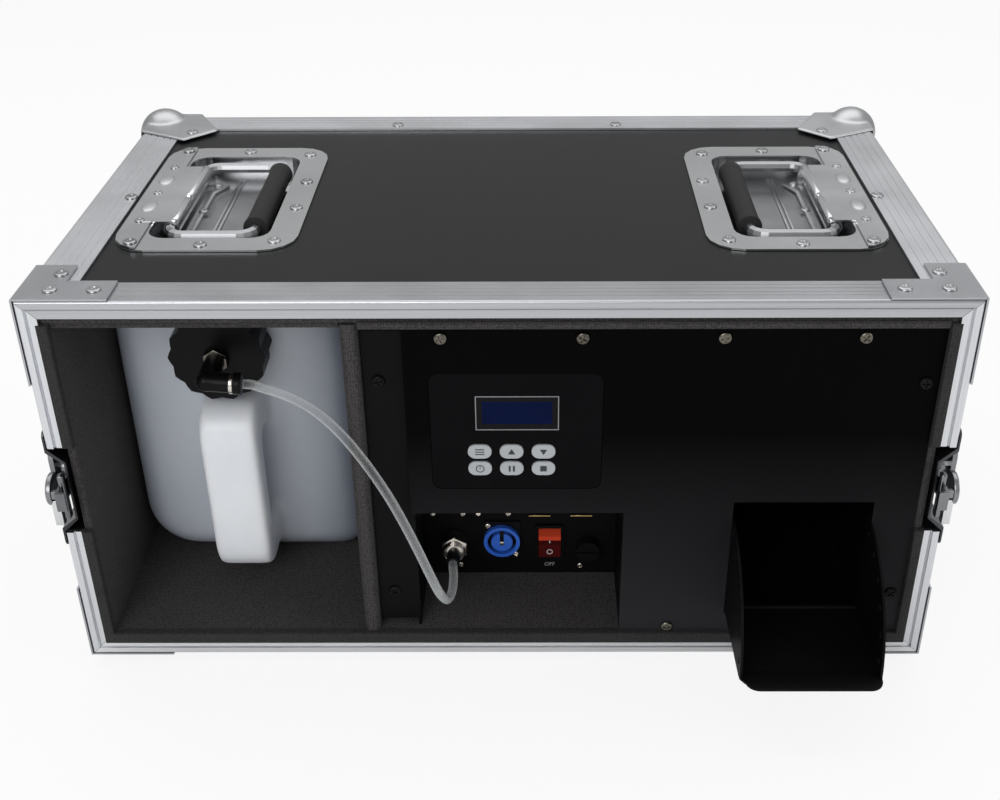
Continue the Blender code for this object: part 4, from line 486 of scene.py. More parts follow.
# %% Cups, cover and panel
CUP_RIM = 0.2606
COVER_SHADE = (0.170, 0.025)
cup_zinc = bare_metal("cup_zinc", (0.34, 0.345, 0.355), (0.50, 0.505, 0.515), (0.18, 0.30), 420.0)
tree, axes = object_axes(cup_zinc)
# Painted shade: the cup's zinc is darker below its rim, inside the hollow of the cup.
recolour(cup_zinc, beyond(tree, axes["Z"], CASE_UNDERSIDE + CUP_RIM), (0.70, 0.71, 0.72))
# The cover's coat is darker than the other powder coat: painted shade near its top.
cover_coat = coated("cover_coat", (0.0007, 0.0007, 0.0009), (0.0011, 0.0011, 0.0014), (0.40, 0.52), 2600.0, 0.14,
                    0.03)
# Painted light: a slope makes the cover lighter towards its foot.
tree, axes = object_axes(cover_coat)
low_down = node(tree, "ShaderNodeMapRange", {"Value": axes["Z"], "From Min": CASE_UNDERSIDE + COVER_SHADE[0],
                                             "From Max": CASE_UNDERSIDE + COVER_SHADE[1]})
recolour(cover_coat, low_down.outputs["Result"], (0.0240, 0.0240, 0.0265))
# The control panel's moulding is darker than the other black mouldings: painted shade at the top of the cover.
panel_moulding = coated("panel_moulding", (0.0016, 0.0016, 0.0022), (0.0028, 0.0028, 0.0036), (0.30, 0.42), 1800.0,
                        0.08, 0.05)
special = {"front_cover": cover_coat, "control_panel": panel_moulding}
for label in ("left", "right"):
    special[f"handle_{label}_dish"] = cup_zinc
    special[f"handle_{label}_bail"] = finishes["bright_rod"]
    special[f"latch_{label}_dish"] = finishes["shaded_zinc"]
    special[f"latch_{label}_hook"] = finishes["dark_chrome"]
    special[f"latch_{label}_wing"] = finishes["dark_chrome"]
print("nodes with their own finish:", len(special))

# %% [markdown]
# Now every node of the model gets its finish. An aluminium edge takes the drawn finish that runs along its longest
# side, unless it is a braced rail. A piece with a finish of its own takes that, and the rest follow their slot.

# %% Give every node its finish
for part in frame["record"]["subparts"]:
    piece = nodes[part["node"]]
    slot_name = part["material_slot"]
    if slot_name == "aluminium_edge":
        size = [high - low for low, high in zip(*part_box(part["node"]))]
        longest = "xyz"[size.index(max(size))]
        material = drawn.get(part["node"], drawn[longest])
    else:
        material = special.get(part["node"], finishes.get(slot_name, finishes["laminate"]))
    piece.data.materials.clear()
    piece.data.materials.append(material)

# %% [markdown]
# ## Modelling helpers
# New pieces start as a primitive and are shaped in edit mode. `brick` gives a block between two corners and `barrel` a
# cylinder along any axis. `pick_faces` and `pick_edges` select by a test on place, as a hand would pick them, and
# `round_edges` bevels what it picks. `slice_at` cuts the whole piece with a plane. `settle` finishes a piece: it
# applies the place to the mesh, smooths it, gives it a finish and lets it ride its body.

# %% Blocks and barrels


def only(piece):
    bpy.ops.object.select_all(action="DESELECT")
    piece.select_set(True)
    bpy.context.view_layer.objects.active = piece


def brick(name, low, high):
    low, high = Vector(low), Vector(high)
    bpy.ops.object.select_all(action="DESELECT")
    bpy.ops.mesh.primitive_cube_add(size=1.0, location=(low + high) / 2)
    piece = bpy.context.object
    piece.name = piece.data.name = name
    piece.scale = high - low
    bpy.ops.object.transform_apply(location=True, rotation=True, scale=True)
    return piece


def barrel(name, centre, radius, depth, axis=(0, 0, 1), sides=48):
    bpy.ops.object.select_all(action="DESELECT")
    turn = Vector(axis).to_track_quat("Z", "Y").to_euler()
    bpy.ops.mesh.primitive_cylinder_add(vertices=sides, radius=radius, depth=depth, location=centre, rotation=turn)
    piece = bpy.context.object
    piece.name = piece.data.name = name
    bpy.ops.object.transform_apply(location=True, rotation=True, scale=True)
    return piece


print("primitives ready")

# %% Edit mode


def edit(piece, mode="FACE"):
    only(piece)
    bpy.ops.object.mode_set(mode="EDIT")
    bpy.ops.mesh.select_mode(type=mode)
    bpy.ops.mesh.select_all(action="DESELECT")


def done():
    bpy.ops.object.mode_set(mode="OBJECT")


def pick_faces(test):
    bpy.ops.mesh.select_all(action="DESELECT")
    shape = bmesh.from_edit_mesh(bpy.context.object.data)
    for face in shape.faces:
        face.select_set(bool(test(face.calc_center_median(), face.normal)))
    bmesh.update_edit_mesh(bpy.context.object.data)


def pick_edges(test):
    bpy.ops.mesh.select_all(action="DESELECT")
    shape = bmesh.from_edit_mesh(bpy.context.object.data)
    for edge in shape.edges:
        edge.select_set(bool(test(edge.verts[0].co, edge.verts[1].co)))
    bmesh.update_edit_mesh(bpy.context.object.data)


def round_edges(width, segments, test):
    pick_edges(test)
    bpy.ops.mesh.bevel(offset=width, segments=segments, affect="EDGES")


def slice_at(spot, normal, drop=False):
    bpy.ops.mesh.select_all(action="SELECT")
    bpy.ops.mesh.bisect(plane_co=spot, plane_no=normal, clear_outer=drop, use_fill=drop)


print("edit mode helpers ready")

# %% Modifiers, joins and finishing


def modify(piece, kind, **settings):
    only(piece)
    modifier = piece.modifiers.new(kind.lower(), kind)
    for name, value in settings.items():
        setattr(modifier, name, value)
    bpy.ops.object.modifier_apply(modifier=modifier.name)


def cut_with(piece, tool, operation="DIFFERENCE"):
    modify(piece, "BOOLEAN", object=tool, operation=operation, solver="EXACT")
    bpy.data.objects.remove(tool)


def weld(first, *others):
    only(first)
    for other in others:
        other.select_set(True)
    bpy.ops.object.join()
    return first


def settle(piece, body, material, angle=40.0):
    only(piece)
    bpy.ops.object.transform_apply(location=True, rotation=True, scale=True)
    bpy.ops.object.shade_smooth_by_angle(angle=math.radians(angle))
    piece.data.materials.clear()
    piece.data.materials.append(material)
    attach(piece, body)
    return piece


print("finishing helpers ready")

# %% [markdown]
# ## Foam lining
# The inside of the case is lined with 5 mm foam faced with a fine pebbled cloth. The foam is glued to the board, so it
# neither hangs nor swells and needs no cloth simulation. We take a block the size of the inside, inset its front face
# by the foam's thickness and push that face back, which leaves a lined box. The front rim is rounded because foam never
# keeps a sharp edge. The handle cups reach through the roof of the lining.

# %% Lining cloth


def cloth(name, dark, light):
    material, tree, shader, place = new_finish(name, light, 0.85)
    weave = effect(tree, weave_group, place, Threads=640.0)
    tint(tree, shader, weave["Threads"], dark, light, 0.0, 1.1)
    roughen(tree, shader, weave["Patches"], 0.78, 0.92)
    emboss(tree, shader, weave["Threads"], 0.45, 0.0004)
    return material


lining_cloth = cloth("lining_cloth", (0.0092, 0.0083, 0.0086), (0.054, 0.0490, 0.0500))
# A darker copy of the lining cloth: painted shade on the frame lips.
shaded_lip_cloth = cloth("shaded_lip_cloth", (0.0050, 0.0046, 0.0047), (0.027, 0.0248, 0.0252))
print("cloths ready")

# %% Lining box
LINING = 0.005
LINING_FRONT = 0.0039
LINING_HALF = 0.2639
LINING_DEPTH = 0.3070
INSIDE_HALF = LINING_HALF - LINING
lining = brick("lining_foam", at(-LINING_HALF, LINING_FRONT, 0.0111),
               at(LINING_HALF, LINING_FRONT + LINING_DEPTH, 0.2509))
edit(lining)
pick_faces(lambda centre, normal: normal.y < -0.9)
bpy.ops.mesh.inset(thickness=LINING, depth=0.0)
bpy.ops.mesh.extrude_region_move(TRANSFORM_OT_translate={"value": (0.0, LINING_DEPTH - LINING, 0.0)})
front = at(0.0, LINING_FRONT, 0.0).y
round_edges(0.0014, 3, lambda a, b: abs(a.y - front) < 1e-5 and abs(b.y - front) < 1e-5)
round_edges(0.0012, 2, lambda a, b: min(a.y, b.y) > front + 0.01 and max(abs(a.x), abs(b.x)) < INSIDE_HALF + 1e-4)
done()
print("lining box:", len(lining.data.polygons), "faces")

# %% Room for the handle cups
CUP_CENTRE = 0.18465
CUP_HALF = 0.0400
for side in (-1, 1):
    cup = brick("cup_room", at(side * CUP_CENTRE - CUP_HALF, 0.088, 0.240),
                at(side * CUP_CENTRE + CUP_HALF, 0.234, 0.256))
    edit(cup)
    round_edges(0.0135, 5, lambda a, b: abs(a.z - b.z) > 0.01)
    done()
    cut_with(lining, cup)
settle(lining, "case", lining_cloth)
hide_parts("foam_lining")
print("lining:", len(lining.data.polygons), "faces")

# %% [markdown]
# The cloth is pulled over the inner step of the front frame at the floor and the sides, up to the latch cut-outs, and
# shows as a thin edge below the roof. Each lip is a strip with a rounded front, given by its left, near and low limits
# and its right, far and high ones.

# %% Lining lips
LIPS = (
    (-0.2656, 0.0001, 0.0080, 0.2652, 0.0056, 0.0166),
    (-0.2656, 0.0001, 0.0150, -0.2586, 0.0046, 0.1005),
    (-0.2656, 0.0001, 0.1625, -0.2586, 0.0046, 0.2465),
    (0.2586, 0.0001, 0.0150, 0.2652, 0.0046, 0.1005),
    (0.2586, 0.0001, 0.1625, 0.2652, 0.0046, 0.2465),
    (-0.2588, 0.0042, 0.2428, -0.0927, 0.0120, 0.2462),
    (-0.0815, 0.0006, 0.2432, 0.2584, 0.0037, 0.2478),
)
lips = []
for left, near, low, right, far, high in LIPS:
    lip = brick("lining_lip", at(left, near, low), at(right, far, high))
    edge = at(0.0, near, 0.0).y + 1e-4
    edit(lip, "EDGE")
    round_edges(0.0015, 4, lambda a, b: max(a.y, b.y) < edge)
    done()
    lips.append(lip)
ROOF_LIPS = 2
roof_lip = weld(*lips[-ROOF_LIPS:])
roof_lip.name = "roof_lip"
frame_lip = weld(*lips[:-ROOF_LIPS])
# The frame lips take the darker cloth as painted shade; the roof lip takes the lining cloth.
for piece, material in ((frame_lip, shaded_lip_cloth), (roof_lip, lining_cloth)):
    settle(piece, "case", material)
print("lining lips:", len(LIPS))

# %% [markdown]
# ## Padded divider
# A board wrapped in the same cloth parts the fluid bay from the machine. Wrapped foam rounds over at the front and
# swells a little between its edges. A cloth simulation could find that swell, but the pad is stiff, so a block that is
# rounded, cut into bands and eased outward does the same with less work.

# %% Divider
divider = brick("divider_pad", at(-0.0922, 0.0034, 0.0166), at(-0.0822, 0.3054, 0.2454))
edit(divider)
round_edges(0.0043, 6, lambda a, b: abs(a.z - b.z) > 0.1 and max(a.y, b.y) < front + 0.01)
slice_at(at(0.0, 0.010, 0.1), (0, 1, 0))
for height in (0.030, 0.080, 0.131, 0.182, 0.232):
    slice_at(at(0.0, 0.0, height), (0, 0, 1))
pick_faces(lambda centre, normal: abs(normal.x) > 0.5 and 0.02 < centre.z - CASE_UNDERSIDE < 0.24)
bpy.ops.transform.shrink_fatten(value=0.0002)
done()
settle(divider, "case", lining_cloth, 60.0)
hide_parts("padded_divider")
print("divider:", len(divider.data.polygons), "faces")

# %% [markdown]
# ## Fluid can
# The can is blown from milky polythene, so every edge is soft and the handle is a fat hollow loop that runs into the
# body without a crease. The quickest way to that look is to join plain rounded blocks, remesh the union into one even
# skin and relax it. Two slopes on Object coordinates paint shade on the can: deep inside the bay and beside the
# divider.

# %% Milky plastic
milky, tree, shader, place = new_finish("milky_polythene", (0.82, 0.84, 0.87), 0.34)
shader.inputs["Subsurface Weight"].default_value = 0.35
shader.inputs["Subsurface Radius"].default_value = (0.018, 0.020, 0.024)
shader.inputs["Subsurface Scale"].default_value = 1.0
marks = effect(tree, grain_group, place, Scale=700.0)
tint(tree, shader, marks["Patches"], (0.76, 0.79, 0.84), (0.85, 0.87, 0.90))
axes = node(tree, "ShaderNodeSeparateXYZ", {"Vector": place}).outputs
# Painted shade: the can grows darker deeper inside the bay.
deep = node(tree, "ShaderNodeMapRange", {"Value": axes["Y"], "From Min": at(0, 0.078, 0).y,
                                         "From Max": at(0, 0.0885, 0).y, "To Min": 0.0, "To Max": 0.72})
recolour(milky, deep.outputs["Result"], (0.275, 0.315, 0.39))
# Painted shade: the can grows darker towards the divider.
aside = node(tree, "ShaderNodeMapRange", {"Value": axes["X"], "From Min": -0.1600, "From Max": -0.0980,
                                          "To Min": 0.0, "To Max": 0.85})
recolour(milky, aside.outputs["Result"], (0.068, 0.082, 0.112))
roughen(tree, shader, marks["Patches"], 0.30, 0.42)
emboss(tree, shader, marks["Grain"], 0.05, 0.0004)
print("plastic:", milky.name)

# %% Can body
can = brick("fluid_container", at(-0.2572, 0.086, 0.0164), at(-0.0965, 0.294, 0.2384))
edit(can, "EDGE")
round_edges(0.036, 10, lambda a, b: abs(a.y - b.y) > 0.1 and a.x < -0.2)
round_edges(0.022, 8, lambda a, b: abs(a.y - b.y) > 0.1 and a.x > -0.1)
round_edges(0.0215, 8, lambda a, b: abs(a.y - b.y) < 1e-6)
done()
neck = barrel("can_neck", at(-0.1807, 0.0950, 0.1924), 0.024, 0.0214, (0, 1, 0))
print("can block:", len(can.data.polygons), "faces")

# %% Can handle
GRIP_SIDE = -0.1600
grip = brick("can_grip", at(GRIP_SIDE - 0.037, 0.0452, 0.0292), at(GRIP_SIDE + 0.001, 0.100, 0.1586))
edit(grip, "EDGE")
round_edges(0.021, 8, lambda a, b: max(a.y, b.y) < at(0, 0.05, 0).y and abs(a.z - b.z) < 1e-5)
round_edges(0.010, 5, lambda a, b: abs(a.y - b.y) > 0.02 and max(a.z, b.z) < at(0, 0, 0.05).z)
done()
window = brick("grip_window", at(-0.21, 0.0670, 0.0580), at(-0.15, 0.0858, 0.1310))
edit(window, "EDGE")
round_edges(0.008, 4, lambda a, b: abs(a.x - b.x) > 0.02)
done()
cut_with(grip, window)
edit(grip, "EDGE")
middle = GRIP_SIDE - 0.018
pick_edges(lambda a, b: min(abs(a.x - middle), abs(b.x - middle)) > 0.0189 and abs(a.x - b.x) < 1e-5)
bpy.ops.mesh.bevel(offset=0.0085, segments=5, affect="EDGES", clamp_overlap=True)
done()
print("can handle:", len(grip.data.polygons), "faces")

# %% One skin for the can
cut_with(can, neck, "UNION")
cut_with(can, grip, "UNION")
only(can)
can.data.remesh_voxel_size = 0.0018
bpy.ops.object.voxel_remesh()
modify(can, "SMOOTH", factor=0.5, iterations=60)
settle(can, "case", milky, 180.0)
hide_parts("fluid_can")
print("can:", len(can.data.polygons), "faces")

# %% [markdown]
# ## Fluid fittings
# A push-in elbow sits on the cap: a nickel hexagon, a black body that turns the corner and a nickel ring where the
# tube goes in. We chamfer the hexagon, since bought nuts always are, and blend the body from a post, a knee and an
# arm. The other end of the tube goes into a threaded bulkhead fitting in the recess.

# %% Elbow nut
NECK = at(-0.1807, 0.0597, 0.1924)
KNEE = NECK + Vector((0.0, -0.029, 0.0))
ARM = Vector((math.cos(math.radians(-5.0)), 0.0, math.sin(math.radians(-5.0))))


def chamfer(piece, width, segments=1, limit=30.0):
    modify(piece, "BEVEL", width=width, segments=segments, limit_method="ANGLE", angle_limit=math.radians(limit))


elbow_nut = barrel("elbow_nut", NECK - Vector((0.0, 0.0025, 0.0)), 0.0085, 0.005, (0, 1, 0), 6)
chamfer(elbow_nut, 0.0007, 2)
settle(elbow_nut, "case", finishes["dark_nickel"])
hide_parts("cap_elbow")
print("elbow nut:", len(elbow_nut.data.polygons), "faces")

# %% Elbow body and ring
elbow_body = barrel("elbow_body", NECK - Vector((0.0, 0.017, 0.0)), 0.0062, 0.024, (0, 1, 0), 32)
bpy.ops.mesh.primitive_uv_sphere_add(segments=32, ring_count=16, radius=0.0064, location=KNEE)
knee = bpy.context.object
cut_with(elbow_body, knee, "UNION")
cut_with(elbow_body, barrel("elbow_arm", KNEE + ARM * 0.0108, 0.0062, 0.0216, ARM, 32), "UNION")
cut_with(elbow_body, barrel("elbow_collar", KNEE + ARM * 0.0192, 0.0069, 0.0044, ARM, 32), "UNION")
chamfer(elbow_body, 0.0006, 2, 50.0)
settle(elbow_body, "case", finishes["black_plastic"])

elbow_ring = barrel("elbow_ring", KNEE + ARM * 0.0155, 0.0067, 0.0024, ARM, 32)
chamfer(elbow_ring, 0.0004, 2)
settle(elbow_ring, "case", finishes["nickel"])
print("elbow ends", [round(value, 4) for value in KNEE + ARM * 0.0223])

# %% Bulkhead fitting
FITTING = at(-0.0350, 0.0647, 0.0450)


def fitting_ring(name, near, far, radius, sides, finish, width):
    depth = far - near
    middle = FITTING - Vector((0.0, (near + far) / 2, 0.0))
    piece = barrel(name, middle, radius, depth, (0, 1, 0), sides)
    chamfer(piece, width, 2)
    settle(piece, "case", finish)
    return piece


fitting_nut = fitting_ring("fitting_nut", 0.0, 0.0110, 0.0100, 6, finishes["nickel"], 0.0008)
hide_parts("bulkhead_fitting")
fitting_ring("fitting_core", 0.0090, 0.0158, 0.0066, 40, finishes["nickel"], 0.0006)
fitting_ring("fitting_sleeve", 0.0150, 0.0262, 0.0045, 32, finishes["black_plastic"], 0.0009)
bpy.ops.object.select_all(action="DESELECT")
bpy.ops.mesh.primitive_torus_add(major_radius=0.0067, minor_radius=0.0005, major_segments=40, minor_segments=8,
                                 location=FITTING - Vector((0.0, 0.0150, 0.0)), rotation=(math.pi / 2, 0.0, 0.0))
fitting_thread = bpy.context.object
fitting_thread.name = "fitting_thread"
modify(fitting_thread, "ARRAY", count=4, use_relative_offset=False, use_constant_offset=True,
       constant_offset_displace=(0.0, 0.0, -0.0012))
settle(fitting_thread, "case", finishes["nickel"], 60.0)
print("fitting dressed")

# %% [markdown]
# ## Fasteners
# Two sizes of pop rivet and two of cross-head screw hold the case and the machine. Each is modelled once, because
# bought fasteners are all alike. Copies with their own mesh are set where the real ones are, turned to face out of
# their surface and joined into one piece for each place.

# %% Rivet models


def model_rivet(name, radius, height):
    model = barrel(name, (0.0, 0.0, height / 2), radius, height, sides=24)
    edit(model, "EDGE")
    round_edges(height * 0.85, 4, lambda a, b: min(a.z, b.z) > height * 0.9)
    pick_faces(lambda centre, normal: centre.z > height * 0.99 and normal.z > 0.999)
    bpy.ops.mesh.inset(thickness=radius * 0.22, depth=0.0)
    bpy.ops.mesh.inset(thickness=radius * 0.08, depth=-height * 0.45)
    done()
    return model


rivet = model_rivet("rivet_model", 0.0043, 0.0012)
small_rivet = model_rivet("small_rivet_model", 0.0031, 0.0010)
print("rivet models:", rivet.name, small_rivet.name)

# %% Screw models


def model_screw(name, radius, height):
    model = barrel(name, (0.0, 0.0, height / 2), radius, height, sides=28)
    edit(model, "EDGE")
    round_edges(height * 0.7, 4, lambda a, b: min(a.z, b.z) > height * 0.9)
    done()
    arm = radius * 0.62
    thin = radius * 0.13
    cut_with(model, brick("slot_one", (-arm, -thin, height * 0.45), (arm, thin, height * 1.2)))
    cut_with(model, brick("slot_two", (-thin, -arm, height * 0.45), (thin, arm, height * 1.2)))
    return model


screw = model_screw("screw_model", 0.0040, 0.0019)
small_screw = model_screw("small_screw_model", 0.0022, 0.0012)
print("screw models:", screw.name, small_screw.name)

# %% Copies in place


def place_copies(model, name, body, places, outward, material, roll=0.0):
    outward = Vector(outward).normalized()
    turn = outward.to_track_quat("Z", "Y").to_matrix().to_4x4()
    copies = []
    for index, spot in enumerate(places):
        copy = bpy.data.objects.new(name, model.data.copy())
        bpy.context.scene.collection.objects.link(copy)
        twist = Matrix.Rotation(roll + 0.7 * index, 4, "Z")
        copy.matrix_world = Matrix.Translation(spot) @ turn @ twist
        copies.append(copy)
    whole = weld(copies[0], *copies[1:]) if len(copies) > 1 else copies[0]
    settle(whole, body, material, 35.0)
    return whole


print("copies can be placed")

# %% Rivets on the case
TOP = 0.2621
BRACE_TOP = 0.2636
BRACE_SIDE = 0.27655
top_rivets = [at(-0.2490, 0.1560, TOP), at(0.2490, 0.1560, TOP), at(-0.0835, 0.3000, TOP), at(0.0825, 0.3000, TOP)]
top_rivets += [at(side * x, y, BRACE_TOP) for side in (-1, 1) for x, y in
               ((0.2573, 0.0340), (0.2573, 0.0125), (0.2320, 0.0125), (0.2360, 0.2805))]
place_copies(rivet, "top_rivets", "case", top_rivets, (0, 0, 1), finishes["rivet_zinc"])
bottom_rivets = [at(x, y, -0.0016) for x in (-0.2573, 0.2573) for y in (0.0340, 0.0125)]
bottom_rivets += [at(side * x, y, -0.0016) for side in (-1, 1) for x, y in ((0.2320, 0.0125), (0.2360, 0.2805))]
bottom_rivets += [at(-0.2490, 0.1560, -0.0001), at(0.2490, 0.1560, -0.0001), at(0.0, 0.3000, -0.0001)]
place_copies(rivet, "bottom_rivets", "case", bottom_rivets, (0, 0, -1), finishes["rivet_zinc"])
for side, label in ((-1, "left"), (1, "right")):
    spots = [at(side * BRACE_SIDE, y, z) for y, z in
             ((0.0125, 0.2180), (0.0125, 0.2440), (0.0340, 0.2440), (0.0125, 0.0440), (0.0125, 0.0180),
              (0.0340, 0.0180), (0.2805, 0.2260), (0.2805, 0.0360))]
    spots += [at(side * 0.2751, y, z) for y, z in ((0.1560, 0.2460), (0.1560, 0.0160), (0.3000, 0.1310))]
    place_copies(rivet, f"{label}_rivets", "case", spots, (side, 0, 0), finishes["rivet_zinc"])
back_spots = [at(x, 0.3221, z) for x in (-0.0835, 0.0825) for z in (0.2400, 0.0220)]
back_spots += [at(x, 0.3221, 0.1310) for x in (-0.2520, 0.2520)]
back_spots += [at(side * 0.2360, 0.3236, z) for side in (-1, 1) for z in (0.2260, 0.0360)]
place_copies(rivet, "back_rivets", "case", back_spots, (0, 1, 0), finishes["rivet_zinc"])
print("case rivets placed")

# %% Screws on the machine
cover_spots = [at(x, 0.0040, 0.2364) for x in (-0.0341, 0.0483, 0.1302, 0.2114)] + [at(0.1073, 0.0040, 0.0200)]
place_copies(screw, "cover_screws", "case", cover_spots, (0, -1, 0), finishes["dark_nickel"], 0.4)
ear_spots = [at(-0.0725, 0.0100, 0.2045), at(-0.0715, 0.0100, 0.0455), at(0.2505, 0.0040, 0.2059),
             at(0.2515, 0.0040, 0.0484)]
place_copies(screw, "ear_screws", "case", ear_spots, (0, -1, 0), finishes["black_plastic"], 0.2)
recess_spots = [at(-0.0315, 0.0650, 0.0238), at(0.0520, 0.0650, 0.0228)]
recess_spots += [at(x, 0.0620, z) for z in (0.0698, 0.0962) for x in (-0.0493, -0.0287, -0.0183, 0.0023)]
recess_spots += [at(-0.0119, 0.0631, 0.0586), at(0.0071, 0.0631, 0.0346)]
place_copies(small_screw, "recess_screws", "case", recess_spots, (0, -1, 0), finishes["nickel"], 0.6)
print("machine screws placed")

# %% [markdown]
# ## Control panel
# The screen is a dark blue liquid-crystal glass inside a thin printed line. The keys carry plain marks that any
# machine could have: arrows, bars, a ring and a square. Marks could be painted with a picture, but thin raised shapes
# stay sharp at any distance, so each is a polygon, a block or a ring about a tenth of a millimetre high, and rides the
# key that it is printed on.

# %% Screen and print finishes
lcd_glass, tree, shader, place = new_finish("lcd_glass", (0.002, 0.004, 0.055), 0.12)
marks = effect(tree, grain_group, place, Scale=300.0)
tint(tree, shader, marks["Patches"], (0.0008, 0.0040, 0.028), (0.0014, 0.0068, 0.052))
roughen(tree, shader, marks["Patches"], 0.08, 0.16)
shader.inputs["Specular IOR Level"].default_value = 0.05
print_grey = coated("grey_print", (0.20, 0.20, 0.21), (0.28, 0.28, 0.29), (0.5, 0.6), 1500.0, 0.05)
print_dark = coated("dark_print", (0.02, 0.02, 0.022), (0.04, 0.04, 0.042), (0.5, 0.6), 1500.0, 0.05)
print_white = coated("white_print", (0.55, 0.55, 0.55), (0.66, 0.66, 0.66), (0.5, 0.6), 1500.0, 0.05)
print("glass and three inks ready")

# %% Screen
SCREEN_CENTRE = (0.00985, 0.18515)
lcd = brick("screen_module", at(-0.0148, 0.0046, 0.1737), at(0.0345, 0.00495, 0.1966))
edit(lcd)
pick_faces(lambda centre, normal: normal.y < -0.9)
bpy.ops.mesh.inset(thickness=0.0030, depth=0.0)
bpy.ops.mesh.inset(thickness=0.0006, depth=-0.0002)
done()
settle(lcd, "case", finishes["black_plastic"])
lcd.data.materials.append(lcd_glass)
for face in lcd.data.polygons:
    aside = abs(face.center.x - SCREEN_CENTRE[0])
    above = abs(face.center.z - CASE_UNDERSIDE - SCREEN_CENTRE[1])
    if face.normal.y < -0.9 and aside < 0.01 and above < 0.004:
        face.material_index = 1
print("screen:", len(lcd.data.polygons), "faces")

# %% Line round the screen
screen_line = brick("screen_line", at(-0.0152, 0.0043, 0.1733), at(0.0349, 0.00445, 0.1970))
edit(screen_line)
pick_faces(lambda centre, normal: normal.y < -0.9)
bpy.ops.mesh.inset(thickness=0.0006, depth=0.0)
bpy.ops.mesh.extrude_region_move(TRANSFORM_OT_translate={"value": (0.0, 0.00012, 0.0)})
done()
cut_with(screen_line, brick("line_room", at(-0.0146, 0.0040, 0.1739), at(0.0343, 0.0048, 0.1964)))
settle(screen_line, "case", print_grey)
print("screen line:", len(screen_line.data.polygons), "faces")

# %% Kinds of mark
KEY_FACE = 0.0033


def flat_mark(name, x, z, radius, corners, roll=0.0, face=KEY_FACE):
    bpy.ops.object.select_all(action="DESELECT")
    bpy.ops.mesh.primitive_circle_add(vertices=corners, radius=radius, fill_type="NGON", location=at(x, face, z),
                                      rotation=(math.pi / 2, roll, 0.0))
    mark = bpy.context.object
    mark.name = mark.data.name = name
    bpy.ops.object.transform_apply(location=True, rotation=True, scale=True)
    edit(mark)
    bpy.ops.mesh.select_all(action="SELECT")
    bpy.ops.mesh.extrude_region_move(TRANSFORM_OT_translate={"value": (0.0, -0.00008, 0.0)})
    bpy.ops.mesh.select_all(action="SELECT")
    bpy.ops.mesh.normals_make_consistent(inside=False)
    done()
    return mark


def bar_mark(name, x, z, width, height, face=KEY_FACE):
    return brick(name, at(x - width / 2, face - 0.00008, z - height / 2),
                 at(x + width / 2, face + 0.0001, z + height / 2))


def ring_mark(name, x, z, radius, line, face=KEY_FACE):
    ring = barrel(name, at(x, face, z), radius, 0.00016, (0, 1, 0), 28)
    cut_with(ring, barrel("ring_room", at(x, face, z), radius - line, 0.001, (0, 1, 0), 28))
    return ring


print("marks can be a polygon, a bar or a ring")

# %% Key marks
KEY_X = (-0.0131, 0.0063, 0.0257)
KEY_Z = (0.1582, 0.1460)
menu_mark = weld(*[bar_mark("mark_menu", KEY_X[0], KEY_Z[0] + rise, 0.0056, 0.0007) for rise in (-0.0017, 0.0, 0.0017)])
up_mark = flat_mark("mark_up", KEY_X[1], KEY_Z[0] - 0.0004, 0.0026, 3)
down_mark = flat_mark("mark_down", KEY_X[2], KEY_Z[0] + 0.0004, 0.0026, 3, math.pi)
timer_mark = weld(ring_mark("mark_timer", KEY_X[0], KEY_Z[1], 0.0027, 0.0006),
                  bar_mark("timer_hand", KEY_X[0], KEY_Z[1] + 0.0009, 0.0005, 0.0018))
lock_mark = weld(*[bar_mark("mark_lock", KEY_X[1] + shift, KEY_Z[1], 0.0012, 0.0042) for shift in (-0.0013, 0.0013)])
hold_mark = bar_mark("mark_hold", KEY_X[2], KEY_Z[1], 0.0040, 0.0040)
key_marks = (menu_mark, up_mark, down_mark, timer_mark, lock_mark, hold_mark)
for index, mark in enumerate(key_marks, 1):
    settle(mark, f"key_{index}", print_dark)
print("key marks:", len(key_marks))

# %% [markdown]
# ## Connectors in the recess
# Behind the recess wall sit the mains inlet with its blue locking face, a red rocker switch and the data sockets. The
# model has their main shapes. Here they get the keyway, the switch signs, the contacts and the flange that the eye
# look for. At this size edges show more than forms, so blocks and cylinders with a small chamfer are enough. The
# rocker's upper end is painted lighter: painted light where light from above falls on it.

# %% Mains inlet
INLET = (-0.0024, 0.0466)
inlet_flange = brick("inlet_flange", at(INLET[0] - 0.0130, 0.0632, INLET[1] - 0.0150),
                     at(INLET[0] + 0.0130, 0.0650, INLET[1] + 0.0150))
edit(inlet_flange, "EDGE")
round_edges(0.0022, 4, lambda a, b: abs(a.y - b.y) > 0.001)
done()
settle(inlet_flange, "case", finishes["black_plastic"])
inlet_key = brick("inlet_keyway", at(INLET[0] - 0.0014, 0.0594, INLET[1] - 0.0008),
                  at(INLET[0] + 0.0014, 0.0640, INLET[1] + 0.0099))
chamfer(inlet_key, 0.0004, 2)
settle(inlet_key, "case", finishes["black_plastic"])
inlet_contact = barrel("inlet_contact", at(INLET[0], 0.0596, INLET[1] - 0.0006), 0.0017, 0.0010, (0, 1, 0), 24)
chamfer(inlet_contact, 0.0003, 2)
settle(inlet_contact, "case", finishes["nickel"])
print("inlet dressed")

# %% Rocker marks
ROCKER = (0.0306, 0.0440)
rocker_red = finishes["red_rocker"]
tree, axes = object_axes(rocker_red)
